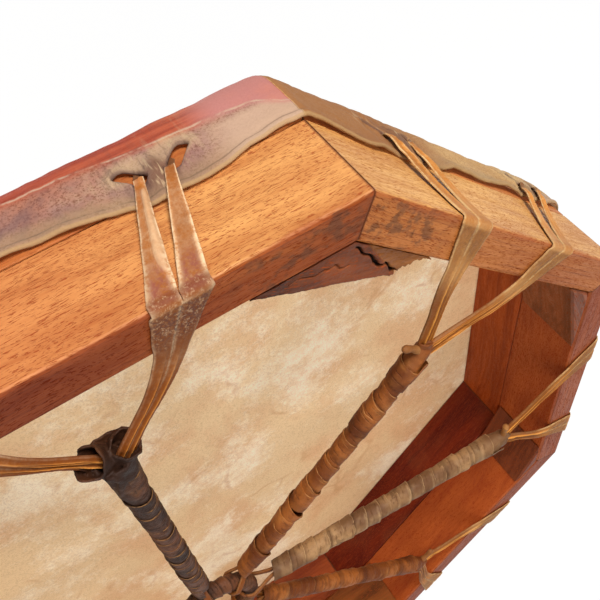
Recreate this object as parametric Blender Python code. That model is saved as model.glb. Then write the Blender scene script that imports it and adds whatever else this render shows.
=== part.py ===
"""An octagonal frame drum with a laced rawhide head, modelled as it is built.

The drum stands on one of its eight flat sides. Seen from behind, +X is right,
+Y goes in towards the head and +Z is up. All sizes are in metres.
"""

import math

import bmesh
import bpy
import numpy as np
from mathutils import Matrix, Vector

# Driving dimensions of the wooden frame
ACROSS_FLATS = 0.400
FRAME_DEPTH = 0.0622
BACK_RING_DEPTH = 0.033
BOARD_THICKNESS = 0.0153
EASED_EDGE = 0.001
SEAM_EDGE = 0.0004
FRONT_ROUNDING = 0.0125
BLOCK_DEPTH = 0.0322
BLOCK_EDGE = 0.0009

# Driving dimensions of the hide
HIDE_THICKNESS = 0.0012
HIDE_LIFT = 0.0013
HEM_PULL = 0.0045
HEM_TO_SLIT = 0.0064
SLIT_HALF_HEIGHT = 0.0026
SLIT_LONG_END = 0.0066
SLIT_SHORT_END = 0.0031
SLIT_SHOULDER = 0.0110

# Driving dimensions of the lacing
STRAP_THICKNESS = 0.0007
STRAP_WIDE = 0.0076
STRAP_INNER_EDGE = 0.0052
STRAP_AT_SLIT = 0.0033
STRAP_FOLDED = 0.0026
FOLDED_THICKNESS = 0.0013
KNOT_TO_RIM = 0.0465
KNOT_DEEP = 0.0002
KNOT_BEND = 0.005
ARM_LEVEL_RUN = 0.008
TAIL_LENGTH = 0.012
UNDER_TURN = 0.0021

# Driving dimensions of the centre ring and of the strips wound on the spokes
RING_RADIUS = 0.017
RING_BAR = 0.0035
RING_DEEP = 0.0045
WRAP_TO_RING = 0.013
STRIP_WIDTH = 0.006
STRIP_GAP = 0.0005
STRIP_THIN = 0.0007
STRIP_THICK = 0.0011
WRAP_BORE = 0.0033
WRAP_BORE_AT_KNOT = 0.00395
WRAP_STUB = 0.0095

# Clearances
GAP = 0.0003
STRAP_GAP = 0.0004

# Counts
SIDES = 8
ROUND_STEPS = 4
RING_STEPS = 32
BAR_STEPS = 8
TURN_STEPS = 7
LOOP_STEPS = 8

# What differs from side to side on a hand-made drum, starting at the top side and
# going round clockwise as seen from behind. Each side has two pairs of slits. A pair
# has its middle and its place on the back edge, both as shares of half a side, and
# half the distance between its slits.
LACE_PAIRS = (
    ((-0.55, -0.46, 0.0052), (0.50, 0.34, 0.0050)),
    ((-0.45, -0.39, 0.0070), (0.71, 0.32, 0.0062)),
    ((-0.38, -0.28, 0.0058), (0.68, 0.57, 0.0056)),
    ((-0.52, -0.40, 0.0060), (0.48, 0.38, 0.0054)),
    ((-0.50, -0.42, 0.0052), (0.50, 0.40, 0.0060)),
    ((-0.56, -0.38, 0.0058), (0.46, 0.36, 0.0052)),
    ((-0.47, -0.41, 0.0050), (0.57, 0.42, 0.0062)),
    ((-0.52, -0.36, 0.0064), (0.49, 0.41, 0.0056)),
)
# How far the hide reaches back past its fold at the corner after each side.
SKIRT_AT_CORNER = (0.0172, 0.0115, 0.0147, 0.0207, 0.0212, 0.0177, 0.0152, 0.0157)
KNOT_SHIFT = (-0.005, -0.0075, 0.0095, 0.003, -0.002, 0.004, -0.004, 0.002)
# Legs of each corner block along the side before the corner and the side after it.
BLOCK_LEGS = (
    (0.0320, 0.0265),
    (0.0170, 0.0400),
    (0.0160, 0.0180),
    (0.0260, 0.0230),
    (0.0240, 0.0275),
    (0.0225, 0.0250),
    (0.0270, 0.0240),
    (0.0235, 0.0265),
)

# Sizes that follow from the ones above
STEP = 2 * math.pi / SIDES
TAN = math.tan(STEP / 2)
COS = math.cos(STEP / 2)
R_OUT = ACROSS_FLATS / 2
R_IN = R_OUT - BOARD_THICKNESS
HALF_SIDE = R_OUT * TAN
FOLD_START = FRAME_DEPTH - FRONT_ROUNDING
BACK_LEVEL = -(GAP + STRAP_THICKNESS / 2)
KNOT_OUT = R_OUT - KNOT_TO_RIM
WRAP_START = KNOT_OUT - KNOT_BEND * math.tan(STEP / 2) - GAP
WRAP_END = RING_RADIUS + WRAP_TO_RING
LAYER = (FOLDED_THICKNESS + STRAP_GAP) / 2
PAIR_OFFSET = (STRAP_FOLDED + STRAP_GAP) / 2
IN = Vector((0, 1, 0))


def clear_scene():
    for o in list(bpy.data.objects):
        bpy.data.objects.remove(o)


def outward(side):
    """The direction from the drum's axis to the middle of a side."""
    angle = math.pi / 2 - side * STEP
    return Vector((math.cos(angle), 0, math.sin(angle)))


def along(side):
    """The direction along a side, clockwise as seen from behind."""
    n = outward(side)
    return Vector((n.z, 0, -n.x))


def on_side(side, u, out, deep):
    """The point u along a side, out from the axis and deep in from the back."""
    return along(side) * u + outward(side) * out + IN * deep


def material(name, colour, roughness, metallic=0.0):
    m = bpy.data.materials.get(name) or bpy.data.materials.new(name)
    m.use_nodes = True
    shader = m.node_tree.nodes["Principled BSDF"]
    shader.inputs["Base Color"].default_value = (*colour, 1)
    shader.inputs["Roughness"].default_value = roughness
    shader.inputs["Metallic"].default_value = metallic
    return m


def add_object(name, bm, finish, parent):
    """Turns a bmesh into one closed named object, with its own material."""
    bmesh.ops.recalc_face_normals(bm, faces=bm.faces)
    mesh = bpy.data.meshes.new(name)
    bm.to_mesh(mesh)
    bm.free()
    mesh.shade_smooth()
    mesh.set_sharp_from_angle(angle=math.radians(35))
    mesh.materials.append(material(name, *finish))
    o = bpy.data.objects.new(name, mesh)
    bpy.context.collection.objects.link(o)
    o.parent = parent
    return o


def prism(rings):
    """A solid through rings of points, closed with a face at each end."""
    bm = bmesh.new()
    rows = [[bm.verts.new(p) for p in ring] for ring in rings]
    for a, b in zip(rows, rows[1:]):
        for i in range(len(a)):
            j = (i + 1) % len(a)
            bm.faces.new((a[i], a[j], b[j], b[i]))
    bm.faces.new(rows[0])
    bm.faces.new(rows[-1])
    return bm


# The boards

def board_section(back, front, back_edge, front_edge, rounded):
    """A board's section as (out, deep) points, with eased edges on its four corners."""
    points = [
        (R_IN, back + back_edge),
        (R_IN + back_edge, back),
        (R_OUT - back_edge, back),
        (R_OUT - back_edge * (1 - math.sin(math.pi / 4)),
         back + back_edge * (1 - math.cos(math.pi / 4))),
        (R_OUT, back + back_edge),
    ]
    if rounded:
        for i in range(ROUND_STEPS + 1):
            a = i * math.pi / 2 / ROUND_STEPS
            points.append((
                R_OUT - FRONT_ROUNDING * (1 - math.cos(a)),
                front - FRONT_ROUNDING * (1 - math.sin(a)),
            ))
    else:
        points += [(R_OUT, front - front_edge), (R_OUT - front_edge, front)]
    return points + [(R_IN + front_edge, front), (R_IN, front - front_edge)]


def board(name, side, section, finish, parent):
    """One board of the ring, mitred at both ends to meet its neighbours."""
    rings = []
    for end in (-1, 1):
        rings.append([
            on_side(side, end * (out * TAN - GAP / 2 / COS), out, deep)
            for out, deep in section
        ])
    return add_object(name, prism(rings), finish, parent)


def corner_block(name, corner, legs, finish, parent):
    """A glue block in the corner between two sides, flush with the frame's back."""
    bend = outward(corner) + outward(corner + 1)
    bend.normalize()
    apex = bend * ((R_IN - GAP) / COS)
    before, after = -along(corner), along(corner + 1)
    chord = [apex + before * legs[0], apex + after * legs[1]]
    blunt = 0.06
    outline = [
        apex + before * legs[0] * blunt,
        apex + after * legs[1] * blunt,
        chord[1],
        chord[0],
    ]
    rings = [[p + IN * deep for p in outline] for deep in (0, BLOCK_DEPTH)]
    bm = prism(rings)
    bmesh.ops.bevel(
        bm, geom=bm.edges, offset=BLOCK_EDGE, segments=1, affect="EDGES",
        clamp_overlap=True,
    )
    return add_object(name, bm, finish, parent)


# The lacing: one strap a side, given as a list of stations

def cut_level(side, u):
    """How deep the hide was cut off, from one corner of a side to the next."""
    share = (u / HALF_SIDE + 1) / 2
    skirt = SKIRT_AT_CORNER[side - 1] * (1 - share) + SKIRT_AT_CORNER[side] * share
    return FOLD_START - skirt


def slit_top(side, u):
    return cut_level(side, u) + HEM_TO_SLIT + SLIT_HALF_HEIGHT


def hem_level(side, u):
    """How deep the hide's hem lies at a place along a side: laces pull it back."""
    pull = 0
    for middle, _, spread in LACE_PAIRS[side]:
        reach = spread + SLIT_SHOULDER
        pull += math.exp(-(((u - middle * HALF_SIDE) / reach) ** 2))
    return cut_level(side, u) - HEM_PULL * min(pull, 1)


def lace_legs(side, pair):
    """Both legs of a pair: where each leaves its slit and crosses the back edge."""
    middle, edge, spread = LACE_PAIRS[side][pair]
    beside = (STRAP_WIDE + STRAP_GAP) / 2
    legs = []
    for way in (-1, 1):
        at_slit = middle * HALF_SIDE + way * spread
        at_edge = edge * HALF_SIDE + way * beside
        slope = (at_slit - at_edge) / (slit_top(side, at_slit) - EASED_EDGE)
        legs.append((at_slit, at_edge, slope))
    return legs


def spoke_frame(side):
    """A spoke's direction from the ring to its knot, and the direction across it."""
    corner = on_side(side, KNOT_SHIFT[side], KNOT_OUT, 0)
    ahead = corner.normalized()
    return ahead, Vector((ahead.z, 0, -ahead.x)), corner.length


def spoke_deep(side, dist):
    """How deep a spoke's middle line lies at a distance from the drum's axis."""
    _, _, reach = spoke_frame(side)
    share = (dist - RING_RADIUS) / (reach - RING_RADIUS)
    return RING_DEEP + (KNOT_DEEP - RING_DEEP) * share


def station(at, across, up, width, thick):
    return (at, across.normalized(), up.normalized(), width, thick)


def leg_stations(side, pair, leg):
    """A strap from inside its spoke out to its slit, as stations going outwards."""
    t, n = along(side), outward(side)
    ahead, right, reach = spoke_frame(side)
    way = (-1, 1)[leg]
    level = KNOT_DEEP + (LAYER if pair == 0 else -LAYER)
    at_slit, at_edge, slope = lace_legs(side, pair)[leg]
    edge_middle = LACE_PAIRS[side][pair][1] * HALF_SIDE
    corner = ahead * reach
    target = on_side(side, edge_middle, R_OUT, 0)
    arm = (target - corner).normalized()
    turn = KNOT_BEND * math.tan(ahead.angle(arm) / 2)
    start, end = corner - ahead * turn, corner + arm * turn

    def beside(point, heading, offset):
        return point + Vector((heading.z, 0, -heading.x)) * (way * offset)

    out = []
    tail = reach - KNOT_BEND - TAIL_LENGTH
    for dist in (tail, reach - turn - GAP):
        deep = spoke_deep(side, dist) + (LAYER if pair == 0 else -LAYER)
        at = beside(ahead * dist, ahead, PAIR_OFFSET) + IN * deep
        out.append(station(at, right, -IN, STRAP_FOLDED, FOLDED_THICKNESS))
    for share in (0.33, 0.67, 1.0):
        at = (start * (1 - share) ** 2 + corner * 2 * share * (1 - share)
              + end * share ** 2)
        heading = ((corner - start) * (1 - share) + (end - corner) * share).normalized()
        side_way = Vector((heading.z, 0, -heading.x))
        out.append(station(beside(at, heading, PAIR_OFFSET) + IN * level, side_way, -IN,
                           STRAP_FOLDED, FOLDED_THICKNESS))
    flat_run = end + arm * ARM_LEVEL_RUN
    out.append(station(beside(flat_run, arm, PAIR_OFFSET) + IN * level,
                       Vector((arm.z, 0, -arm.x)), -IN, STRAP_FOLDED, FOLDED_THICKNESS))

    def on_arm(out_at, width, deep, up):
        share = (out_at - corner.dot(n)) / (R_OUT - corner.dot(n))
        u = corner.dot(t) + (edge_middle - corner.dot(t)) * share
        u += way * (width + STRAP_GAP) / 2
        return station(on_side(side, u, out_at, deep), t, up, width, STRAP_THICKNESS)

    out.append(on_arm(R_IN - EASED_EDGE, STRAP_INNER_EDGE, BACK_LEVEL, -IN))
    out.append(on_arm(R_OUT - EASED_EDGE, STRAP_WIDE, BACK_LEVEL, -IN))

    # round the back edge, up the outer face, over the hem and in through the slit
    bend = EASED_EDGE - BACK_LEVEL
    for angle in (math.pi / 4, math.pi / 2):
        out_at = R_OUT - EASED_EDGE + bend * math.sin(angle)
        deep = EASED_EDGE - bend * math.cos(angle)
        up = n * math.sin(angle) - IN * math.cos(angle)
        out.append(station(on_side(side, at_edge, out_at, deep), t, up,
                           STRAP_WIDE, STRAP_THICKNESS))

    top = slit_top(side, at_slit)

    def on_face(deep, off):
        share = (top - deep) / (top - EASED_EDGE)
        width = STRAP_AT_SLIT + (STRAP_WIDE - STRAP_AT_SLIT) * max(share, 0)
        u = at_slit + slope * min(deep - top, 0)
        at = on_side(side, u, R_OUT + off, deep)
        return station(at, t, n, width, STRAP_THICKNESS)

    over = GAP + HIDE_THICKNESS + GAP + STRAP_THICKNESS / 2
    under = GAP + STRAP_THICKNESS / 2
    low = top - 2 * SLIT_HALF_HEIGHT
    out.append(on_face(hem_level(side, at_slit) - HEM_PULL / 4, over))
    out.append(on_face(low - STRAP_THICKNESS / 2, over))
    out.append(on_face(top + STRAP_THICKNESS / 2, under))
    return out


def under_turn(side, pair):
    """The strap's turn under the hide, from one slit of a pair to the other."""
    t, n = along(side), outward(side)
    legs = lace_legs(side, pair)
    off = R_OUT + GAP + STRAP_THICKNESS / 2
    out = []
    for way, (u, _, _) in ((1, legs[0]), (-1, legs[1])):
        level = slit_top(side, u) + STRAP_THICKNESS
        arc = []
        for angle in (0.25, 0.5, 0.75, 1.0):
            a = angle * math.pi / 2
            at = on_side(side, u + way * UNDER_TURN * (1 - math.cos(a)), off,
                         level + UNDER_TURN * math.sin(a))
            across = t * math.cos(a) - IN * (way * math.sin(a))
            arc.append(station(at, across * way, n, STRAP_AT_SLIT, STRAP_THICKNESS))
        out += arc if way == 1 else arc[::-1]
    return out


def ring_loop(side):
    """The strap's run down the spoke, round the centre ring and back up the spoke."""
    ahead, right, reach = spoke_frame(side)
    tail = reach - KNOT_BEND - TAIL_LENGTH
    radius = RING_BAR + GAP * 1.5 + FOLDED_THICKNESS / 2
    out = []
    for dist in (tail - TAIL_LENGTH, WRAP_END - GAP):
        at = ahead * dist + IN * (spoke_deep(side, dist) + LAYER)
        out.append(station(at, -right, -IN, STRAP_FOLDED, FOLDED_THICKNESS))
    for i in range(LOOP_STEPS + 1):
        a = math.pi * i / LOOP_STEPS
        towards = IN * math.cos(a) - ahead * math.sin(a)
        at = ahead * RING_RADIUS + IN * RING_DEEP + towards * radius
        out.append(station(at, -right, -towards, STRAP_FOLDED, FOLDED_THICKNESS))
    for dist in (WRAP_END - GAP, tail - TAIL_LENGTH):
        at = ahead * dist + IN * (spoke_deep(side, dist) - LAYER)
        out.append(station(at, -right, IN, STRAP_FOLDED, FOLDED_THICKNESS))
    return out


def homeward(stations):
    """The same stations walked the other way."""
    return [(at, -across, up, width, thick)
            for at, across, up, width, thick in reversed(stations)]


def turned_over(stations):
    return [(at, -across, -up, width, thick) for at, across, up, width, thick in stations]


def lacing_stations(side):
    left = (leg_stations(side, 0, 0) + under_turn(side, 0)
            + homeward(leg_stations(side, 0, 1)))
    right = (leg_stations(side, 1, 0) + under_turn(side, 1)
             + homeward(leg_stations(side, 1, 1)))
    return left + ring_loop(side) + turned_over(right)


def lacing(name, side, finish, parent):
    """One unbroken strap: out and back twice to the rim, and once round the ring."""
    rings = []
    for at, across, up, width, thick in lacing_stations(side):
        w, h = across * (width / 2), up * (thick / 2)
        rings.append([at - w - h, at + w - h, at + w + h, at - w + h])
    return add_object(name, prism(rings), finish, parent)


# The strips wound round the spokes

def wrap_stations(side):
    """The four corners of the strip's section, turn after turn, and the stub."""
    ahead, across, reach = spoke_frame(side)
    start = ahead * WRAP_START + IN * spoke_deep(side, WRAP_START)
    end = ahead * WRAP_END + IN * spoke_deep(side, WRAP_END)
    run = end - start
    down = run.normalized()
    turns = int(run.length / (STRIP_WIDTH + STRIP_GAP))
    pitch = (run.length - STRIP_WIDTH) / (turns - 1)
    back = (-IN + down * down.dot(IN)).normalized()
    steps = (turns - 1) * TURN_STEPS
    rings = []
    for i in range(steps + 1):
        a = 2 * math.pi * i / TURN_STEPS
        s = pitch * i / TURN_STEPS
        away = back * math.cos(a) + across * math.sin(a)
        near_knot = max(0.0, 1 - s / (2 * TAIL_LENGTH))
        bore = WRAP_BORE + (WRAP_BORE_AT_KNOT - WRAP_BORE) * min(1.0, 2 * near_knot)
        rings.append([
            start + down * s + away * bore,
            start + down * s + away * (bore + STRIP_THIN),
            start + down * (s + STRIP_WIDTH) + away * (bore + STRIP_THICK),
            start + down * (s + STRIP_WIDTH) + away * bore,
        ])
    stub = [p - across * WRAP_STUB for p in rings[0]]
    return [stub] + rings


def least_gap(rings):
    """The strip's least distance between one turn's end edge and the next turn."""
    samples = 6
    shares = np.linspace(0, 1, samples, endpoint=False)[:, None, None]
    tail = np.array([[r[2], r[3]] for r in rings[1:]])
    lead = np.array([[r[0], r[1]] for r in rings[1:]])
    fine = []
    for edge in (tail, lead):
        between = edge[None, :-1] + shares[..., None] * (edge[1:] - edge[:-1])[None]
        fine.append(between.transpose(1, 0, 2, 3).reshape(-1, 3))
    per_turn = TURN_STEPS * samples * 2
    least = 1.0
    for first in range(0, len(fine[0]) - per_turn, per_turn):
        here = fine[0][first:first + per_turn]
        there = fine[1][first + per_turn // 2:first + per_turn * 5 // 2]
        apart = np.linalg.norm(here[:, None] - there[None], axis=2)
        least = min(least, float(apart.min()))
    return least


def spoke_wrap(name, side, finish, parent):
    rings = wrap_stations(side)
    print(f"{name}: {(len(rings) - 2) // TURN_STEPS + 1} turns,",
          f"least gap to itself {least_gap(rings) * 1000:.2f} mm")
    return add_object(name, prism(rings), finish, parent)


# The hide: a flat head, folded over the front edge and drawn down the rim

def fine_columns(side):
    """Places along a side for the hide's lower rows: (u, slope, kind, part of slit)."""
    columns = [(-HALF_SIDE, 0.0, "corner", "")]
    for pair in (0, 1):
        (left, _, slope_left), (right, _, slope_right) = lace_legs(side, pair)
        wide = STRAP_AT_SLIT / 2 + 2 * GAP
        columns += [
            (left - SLIT_SHOULDER, slope_left, "plain", ""),
            (left - SLIT_LONG_END, slope_left, "tip", "open"),
            (left - wide, slope_left, "leg", "full"),
            (left + wide, slope_left, "leg", "close"),
            (left + SLIT_SHORT_END, slope_left, "tip", ""),
            (right - SLIT_SHORT_END, slope_right, "tip", "open"),
            (right - wide, slope_right, "leg", "full"),
            (right + wide, slope_right, "leg", "close"),
            (right + SLIT_LONG_END, slope_right, "tip", ""),
            (right + SLIT_SHOULDER, slope_right, "plain", ""),
        ]
        if pair == 0:
            columns.append((columns[-1][0] / 2 + (lace_legs(side, 1)[0][0]
                            - SLIT_SHOULDER) / 2, 0.0, "plain", ""))
    return columns


def rim_point(side, u, off, deep):
    """A point of the hide on the rim; at a corner it moves out along the mitre."""
    if u <= -HALF_SIDE:
        u = -(R_OUT + off) * TAN
    return on_side(side, u, R_OUT + off, deep)


def rim_rows():
    """Inner and outer points of the fine rows, and which quads the slits leave out."""
    inner, outer, marks = [[], [], [], []], [[], [], [], []], []
    for side in range(SIDES):
        for u, slope, kind, mark in fine_columns(side):
            top = slit_top(side, u)
            levels = (hem_level(side, u), top - 2 * SLIT_HALF_HEIGHT,
                      top - SLIT_HALF_HEIGHT, top)
            seats = {
                "leg": (GAP, GAP, HIDE_LIFT, HIDE_LIFT),
                "tip": (0.5 * HIDE_LIFT, 0.6 * HIDE_LIFT, HIDE_LIFT, HIDE_LIFT),
            }.get(kind, (HIDE_LIFT,) * 4)
            for row, deep in enumerate(levels):
                at = u + slope * (deep - top)
                for rows, off in ((inner, seats[row]), (outer, seats[row] + HIDE_THICKNESS)):
                    rows[row].append(rim_point(side, at, off, deep))
            marks.append(mark)
    return inner, outer, marks


def fold_rows():
    """The coarse rows: the fold over the front edge, which ends at the head."""
    shares = (-1.0, -0.62, -0.25, 0.25, 0.62)
    arc = [i * math.pi / 2 / ROUND_STEPS for i in range(ROUND_STEPS + 1)]
    inner, outer = [], []
    for rows, skin in ((inner, 0.0), (outer, HIDE_THICKNESS)):
        levels = []
        for a in arc:
            lift = HIDE_LIFT + (GAP - HIDE_LIFT) * (a / arc[-1]) ** 2
            radius = FRONT_ROUNDING + lift + skin
            levels.append((radius * math.cos(a) - FRONT_ROUNDING,
                           FOLD_START + radius * math.sin(a)))
        for off, deep in levels:
            row = []
            for side in range(SIDES):
                for share in shares:
                    u = share * HALF_SIDE
                    if share > -1:
                        u *= (R_OUT + off) / R_OUT
                    row.append(rim_point(side, u, off, deep))
            rows.append(row)
    return inner, outer, len(shares)


def zip_rows(bm, fine, coarse, fine_at, coarse_at):
    """Joins two closed rows of unlike counts with triangles, in step round the rim."""
    i = j = 0
    n, m = len(fine), len(coarse)
    while i < n or j < m:
        next_fine = fine_at[i + 1] if i < n else math.inf
        next_coarse = coarse_at[j + 1] if j < m else math.inf
        if next_fine <= next_coarse:
            bm.faces.new((fine[i % n], fine[(i + 1) % n], coarse[j % m]))
            i += 1
        else:
            bm.faces.new((fine[i % n], coarse[(j + 1) % m], coarse[j % m]))
            j += 1


def drum_hide(name, finish, parent):
    """The hide with its head, fold, rim, pulled hem and slits, as one closed solid."""
    bm = bmesh.new()
    rim_in, rim_out, marks = rim_rows()
    fold_in, fold_out, per_side = fold_rows()
    sheets = []
    for rim, fold, head_deep in (
        (rim_in, fold_in, FRAME_DEPTH + GAP),
        (rim_out, fold_out, FRAME_DEPTH + GAP + HIDE_THICKNESS),
    ):
        rows = [[bm.verts.new(p) for p in row] for row in rim]
        folds = [[bm.verts.new(p) for p in row] for row in fold]
        centre = bm.verts.new(IN * head_deep)
        sheets.append((rows, folds, centre))
    count = len(marks)

    slit_edges = []
    for sheet, (rows, folds, centre) in enumerate(sheets):
        hem, low, mid, top = rows
        for i in range(count):
            j = (i + 1) % count
            bm.faces.new((hem[i], hem[j], low[j], low[i]))
            if marks[i] == "open":
                bm.faces.new((low[i], low[j], mid[i]))
                bm.faces.new((mid[i], top[j], top[i]))
            elif marks[i] == "close":
                bm.faces.new((low[i], low[j], mid[j]))
                bm.faces.new((mid[j], top[j], top[i]))
            elif marks[i] != "full":
                bm.faces.new((low[i], low[j], mid[j], mid[i]))
                bm.faces.new((mid[i], mid[j], top[j], top[i]))
        fine_at, coarse_at = [], []
        for side in range(SIDES):
            fine_at += [side + (u / HALF_SIDE + 1) / 2 for u, *_ in fine_columns(side)]
            coarse_at += [side + (i / per_side) for i in range(per_side)]
        zip_rows(bm, top, folds[0], fine_at + [SIDES], coarse_at + [SIDES])
        for a, b in zip(folds, folds[1:]):
            for i in range(len(a)):
                j = (i + 1) % len(a)
                bm.faces.new((a[i], a[j], b[j], b[i]))
        last = folds[-1]
        for i in range(len(last)):
            bm.faces.new((last[i], last[(i + 1) % len(last)], centre))

    (rows_in, _, _), (rows_out, _, _) = sheets
    for i in range(count):
        j = (i + 1) % count
        bm.faces.new((rows_in[0][i], rows_in[0][j], rows_out[0][j], rows_out[0][i]))
        if marks[i] == "open":
            b, c = (i + 1) % count, (i + 2) % count
            around = [(2, i), (1, b), (1, c), (2, (i + 3) % count), (3, c), (3, b)]
            slit_edges.append(around)
    for around in slit_edges:
        for k in range(len(around)):
            (r0, c0), (r1, c1) = around[k], around[(k + 1) % len(around)]
            bm.faces.new((rows_in[r0][c0], rows_in[r1][c1],
                          rows_out[r1][c1], rows_out[r0][c0]))
    loose = [v for v in bm.verts if not v.link_faces]
    bmesh.ops.delete(bm, geom=loose, context="VERTS")
    return add_object(name, bm, finish, parent)


def centre_ring(name, finish, parent):
    """The ring that the eight straps are looped round."""
    bm = bmesh.new()
    rows = []
    for i in range(RING_STEPS):
        a = 2 * math.pi * i / RING_STEPS
        spoke = Vector((math.cos(a), 0, math.sin(a)))
        row = []
        for j in range(BAR_STEPS):
            b = 2 * math.pi * (j + 0.5) / BAR_STEPS
            at = spoke * (RING_RADIUS + RING_BAR * math.cos(b))
            row.append(bm.verts.new(at + IN * (RING_DEEP + RING_BAR * math.sin(b))))
        rows.append(row)
    for i in range(RING_STEPS):
        a, b = rows[i], rows[(i + 1) % RING_STEPS]
        for j in range(BAR_STEPS):
            k = (j + 1) % BAR_STEPS
            bm.faces.new((a[j], a[k], b[k], b[j]))
    return add_object(name, bm, finish, parent)


def stand_on_ground(parent, pieces):
    """Moves the whole drum so that the origin is under the middle of its box."""
    points = np.array([v.co for o in pieces for v in o.data.vertices])
    low, high = points.min(axis=0), points.max(axis=0)
    parent.location = (
        -(low[0] + high[0]) / 2, -(low[1] + high[1]) / 2, -low[2],
    )
    print("drum placed at", [round(c, 6) for c in parent.location],
          "box", [round(float(c), 6) for c in high - low])


# Finishes as (colour, roughness), and which strip binds which spoke
BOARD_FINISH = ((0.62, 0.27, 0.10), 0.55)
INNER_FINISH = ((0.45, 0.17, 0.07), 0.6)
BLOCK_FINISH = ((0.30, 0.11, 0.06), 0.65)
HIDE_FINISH = ((0.74, 0.58, 0.40), 0.55)
LACE_FINISH = ((0.62, 0.42, 0.20), 0.5)
DARK_STRIP = ((0.09, 0.06, 0.045), 0.55)
AMBER_STRIP = ((0.33, 0.16, 0.07), 0.5)
GREY_STRIP = ((0.30, 0.22, 0.15), 0.55)
STRIPS = (DARK_STRIP, AMBER_STRIP, GREY_STRIP, AMBER_STRIP,
          DARK_STRIP, AMBER_STRIP, GREY_STRIP, AMBER_STRIP)


def build():
    clear_scene()
    drum = bpy.data.objects.new("drum", None)
    bpy.context.collection.objects.link(drum)
    back = board_section(0, BACK_RING_DEPTH, EASED_EDGE, SEAM_EDGE, False)
    front = board_section(BACK_RING_DEPTH + GAP, FRAME_DEPTH, SEAM_EDGE, SEAM_EDGE, True)
    pieces = []
    for side in range(SIDES):
        number = side + 1
        pieces += [
            board(f"back_board_{number}", side, back, BOARD_FINISH, drum),
            board(f"front_board_{number}", side, front, INNER_FINISH, drum),
            corner_block(f"corner_block_{number}", side, BLOCK_LEGS[side],
                         BLOCK_FINISH, drum),
            lacing(f"lacing_{number}", side, LACE_FINISH, drum),
            spoke_wrap(f"spoke_wrap_{number}", side, STRIPS[side], drum),
        ]
    pieces.append(drum_hide("drum_hide", HIDE_FINISH, drum))
    pieces.append(centre_ring("centre_ring", DARK_STRIP, drum))
    stand_on_ground(drum, pieces)


build()
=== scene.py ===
# %% [markdown]
# # An octagonal frame drum, seen into its open back
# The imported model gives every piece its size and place. This script loads it, gives
# the boards and blocks their wood, and builds the soft pieces again in full: the
# rawhide head, the straps that lace it and the strips wound round the spokes.

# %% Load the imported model
import math

import bmesh
import bpy
import numpy as np
from mathutils import Matrix, Vector


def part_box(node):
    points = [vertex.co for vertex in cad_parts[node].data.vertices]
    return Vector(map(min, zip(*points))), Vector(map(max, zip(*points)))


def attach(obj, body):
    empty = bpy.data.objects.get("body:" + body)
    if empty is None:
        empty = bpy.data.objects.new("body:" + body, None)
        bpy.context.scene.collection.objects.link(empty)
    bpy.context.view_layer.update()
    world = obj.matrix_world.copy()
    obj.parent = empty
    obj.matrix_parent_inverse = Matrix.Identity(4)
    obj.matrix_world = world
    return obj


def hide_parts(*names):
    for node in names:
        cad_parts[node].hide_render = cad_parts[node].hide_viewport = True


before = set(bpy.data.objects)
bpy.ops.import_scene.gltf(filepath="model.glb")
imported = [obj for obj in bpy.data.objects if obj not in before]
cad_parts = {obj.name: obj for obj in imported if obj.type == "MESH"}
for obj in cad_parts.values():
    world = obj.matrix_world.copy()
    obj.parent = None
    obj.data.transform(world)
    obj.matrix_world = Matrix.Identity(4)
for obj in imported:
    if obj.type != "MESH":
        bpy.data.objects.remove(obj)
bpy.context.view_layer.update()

# %% [markdown]
# The photograph looks down into the drum from behind and above. A camera is one
# place, one direction and one angle of view. These were worked out from the places
# of the octagon's corners, so the same edges fall in the same places of the picture.

# %% Camera
SIDES = 8
STEP = 2 * math.pi / SIDES
TAN = math.tan(STEP / 2)
R_OUT = 0.200
R_IN = R_OUT - 0.0153
HALF_SIDE = R_OUT * TAN
BACK_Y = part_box("back_board_1")[0].y
AXIS_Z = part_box("back_board_1")[1].z - R_OUT
HOME = np.array([0.0, BACK_Y, AXIS_Z])
IN = np.array([0.0, 1.0, 0.0])
GAP = 0.0003
CAMERA_FROM_CENTRE = (0.0011, -0.1179, 0.3508)
LOOK = Vector((0.2587, 0.5372, -0.8029)).normalized()
PICTURE_DOWN = Vector((-0.4767, -0.6519, -0.5898))
FOCAL_SHARE = 835.7 / 600
SENSOR = 36


def in_scene(name, data):
    """A new object with this mesh, lamp or camera."""
    made = bpy.data.objects.new(name, data)
    bpy.context.collection.objects.link(made)
    return made


camera = bpy.data.cameras.new("camera")
camera_object = in_scene("camera", camera)
right = LOOK.cross(-PICTURE_DOWN).normalized()
turn = Matrix((right, right.cross(LOOK), -LOOK)).transposed().to_4x4()
turn.translation = Vector(HOME) + Vector(CAMERA_FROM_CENTRE)
camera_object.matrix_world = turn
camera.sensor_width = SENSOR
camera.lens = SENSOR * FOCAL_SHARE
camera.clip_start = 0.01
camera.clip_end = 50
bpy.context.scene.camera = camera_object
print("camera at", [round(c, 3) for c in turn.translation], "lens", round(camera.lens, 1))

# %% [markdown]
# The eight sides are alike, so each point of a piece is given by its side, its place
# along the side, its distance out from the axis and its depth in from the back.
# One helper turns these into a place in the scene. Another makes small smooth bumps
# by adding up waves that run in random directions, which no hand-made piece lacks.

# %% Helpers for places, bumps and meshes
def outward(side):
    angle = math.pi / 2 - side * STEP
    return np.array([math.cos(angle), 0.0, math.sin(angle)])


def crosswise(way):
    """The direction square to a way across the drum: clockwise seen from the back."""
    return np.array([way[2], 0.0, -way[0]])


def along(side):
    return crosswise(outward(side))


def on_side(side, u, out, deep):
    """Places along a side, out from the axis and deep in from the back."""
    u, out, deep = (np.asarray(v, float)[..., None] for v in (u, out, deep))
    return HOME + u * along(side) + out * outward(side) + deep * IN


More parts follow.
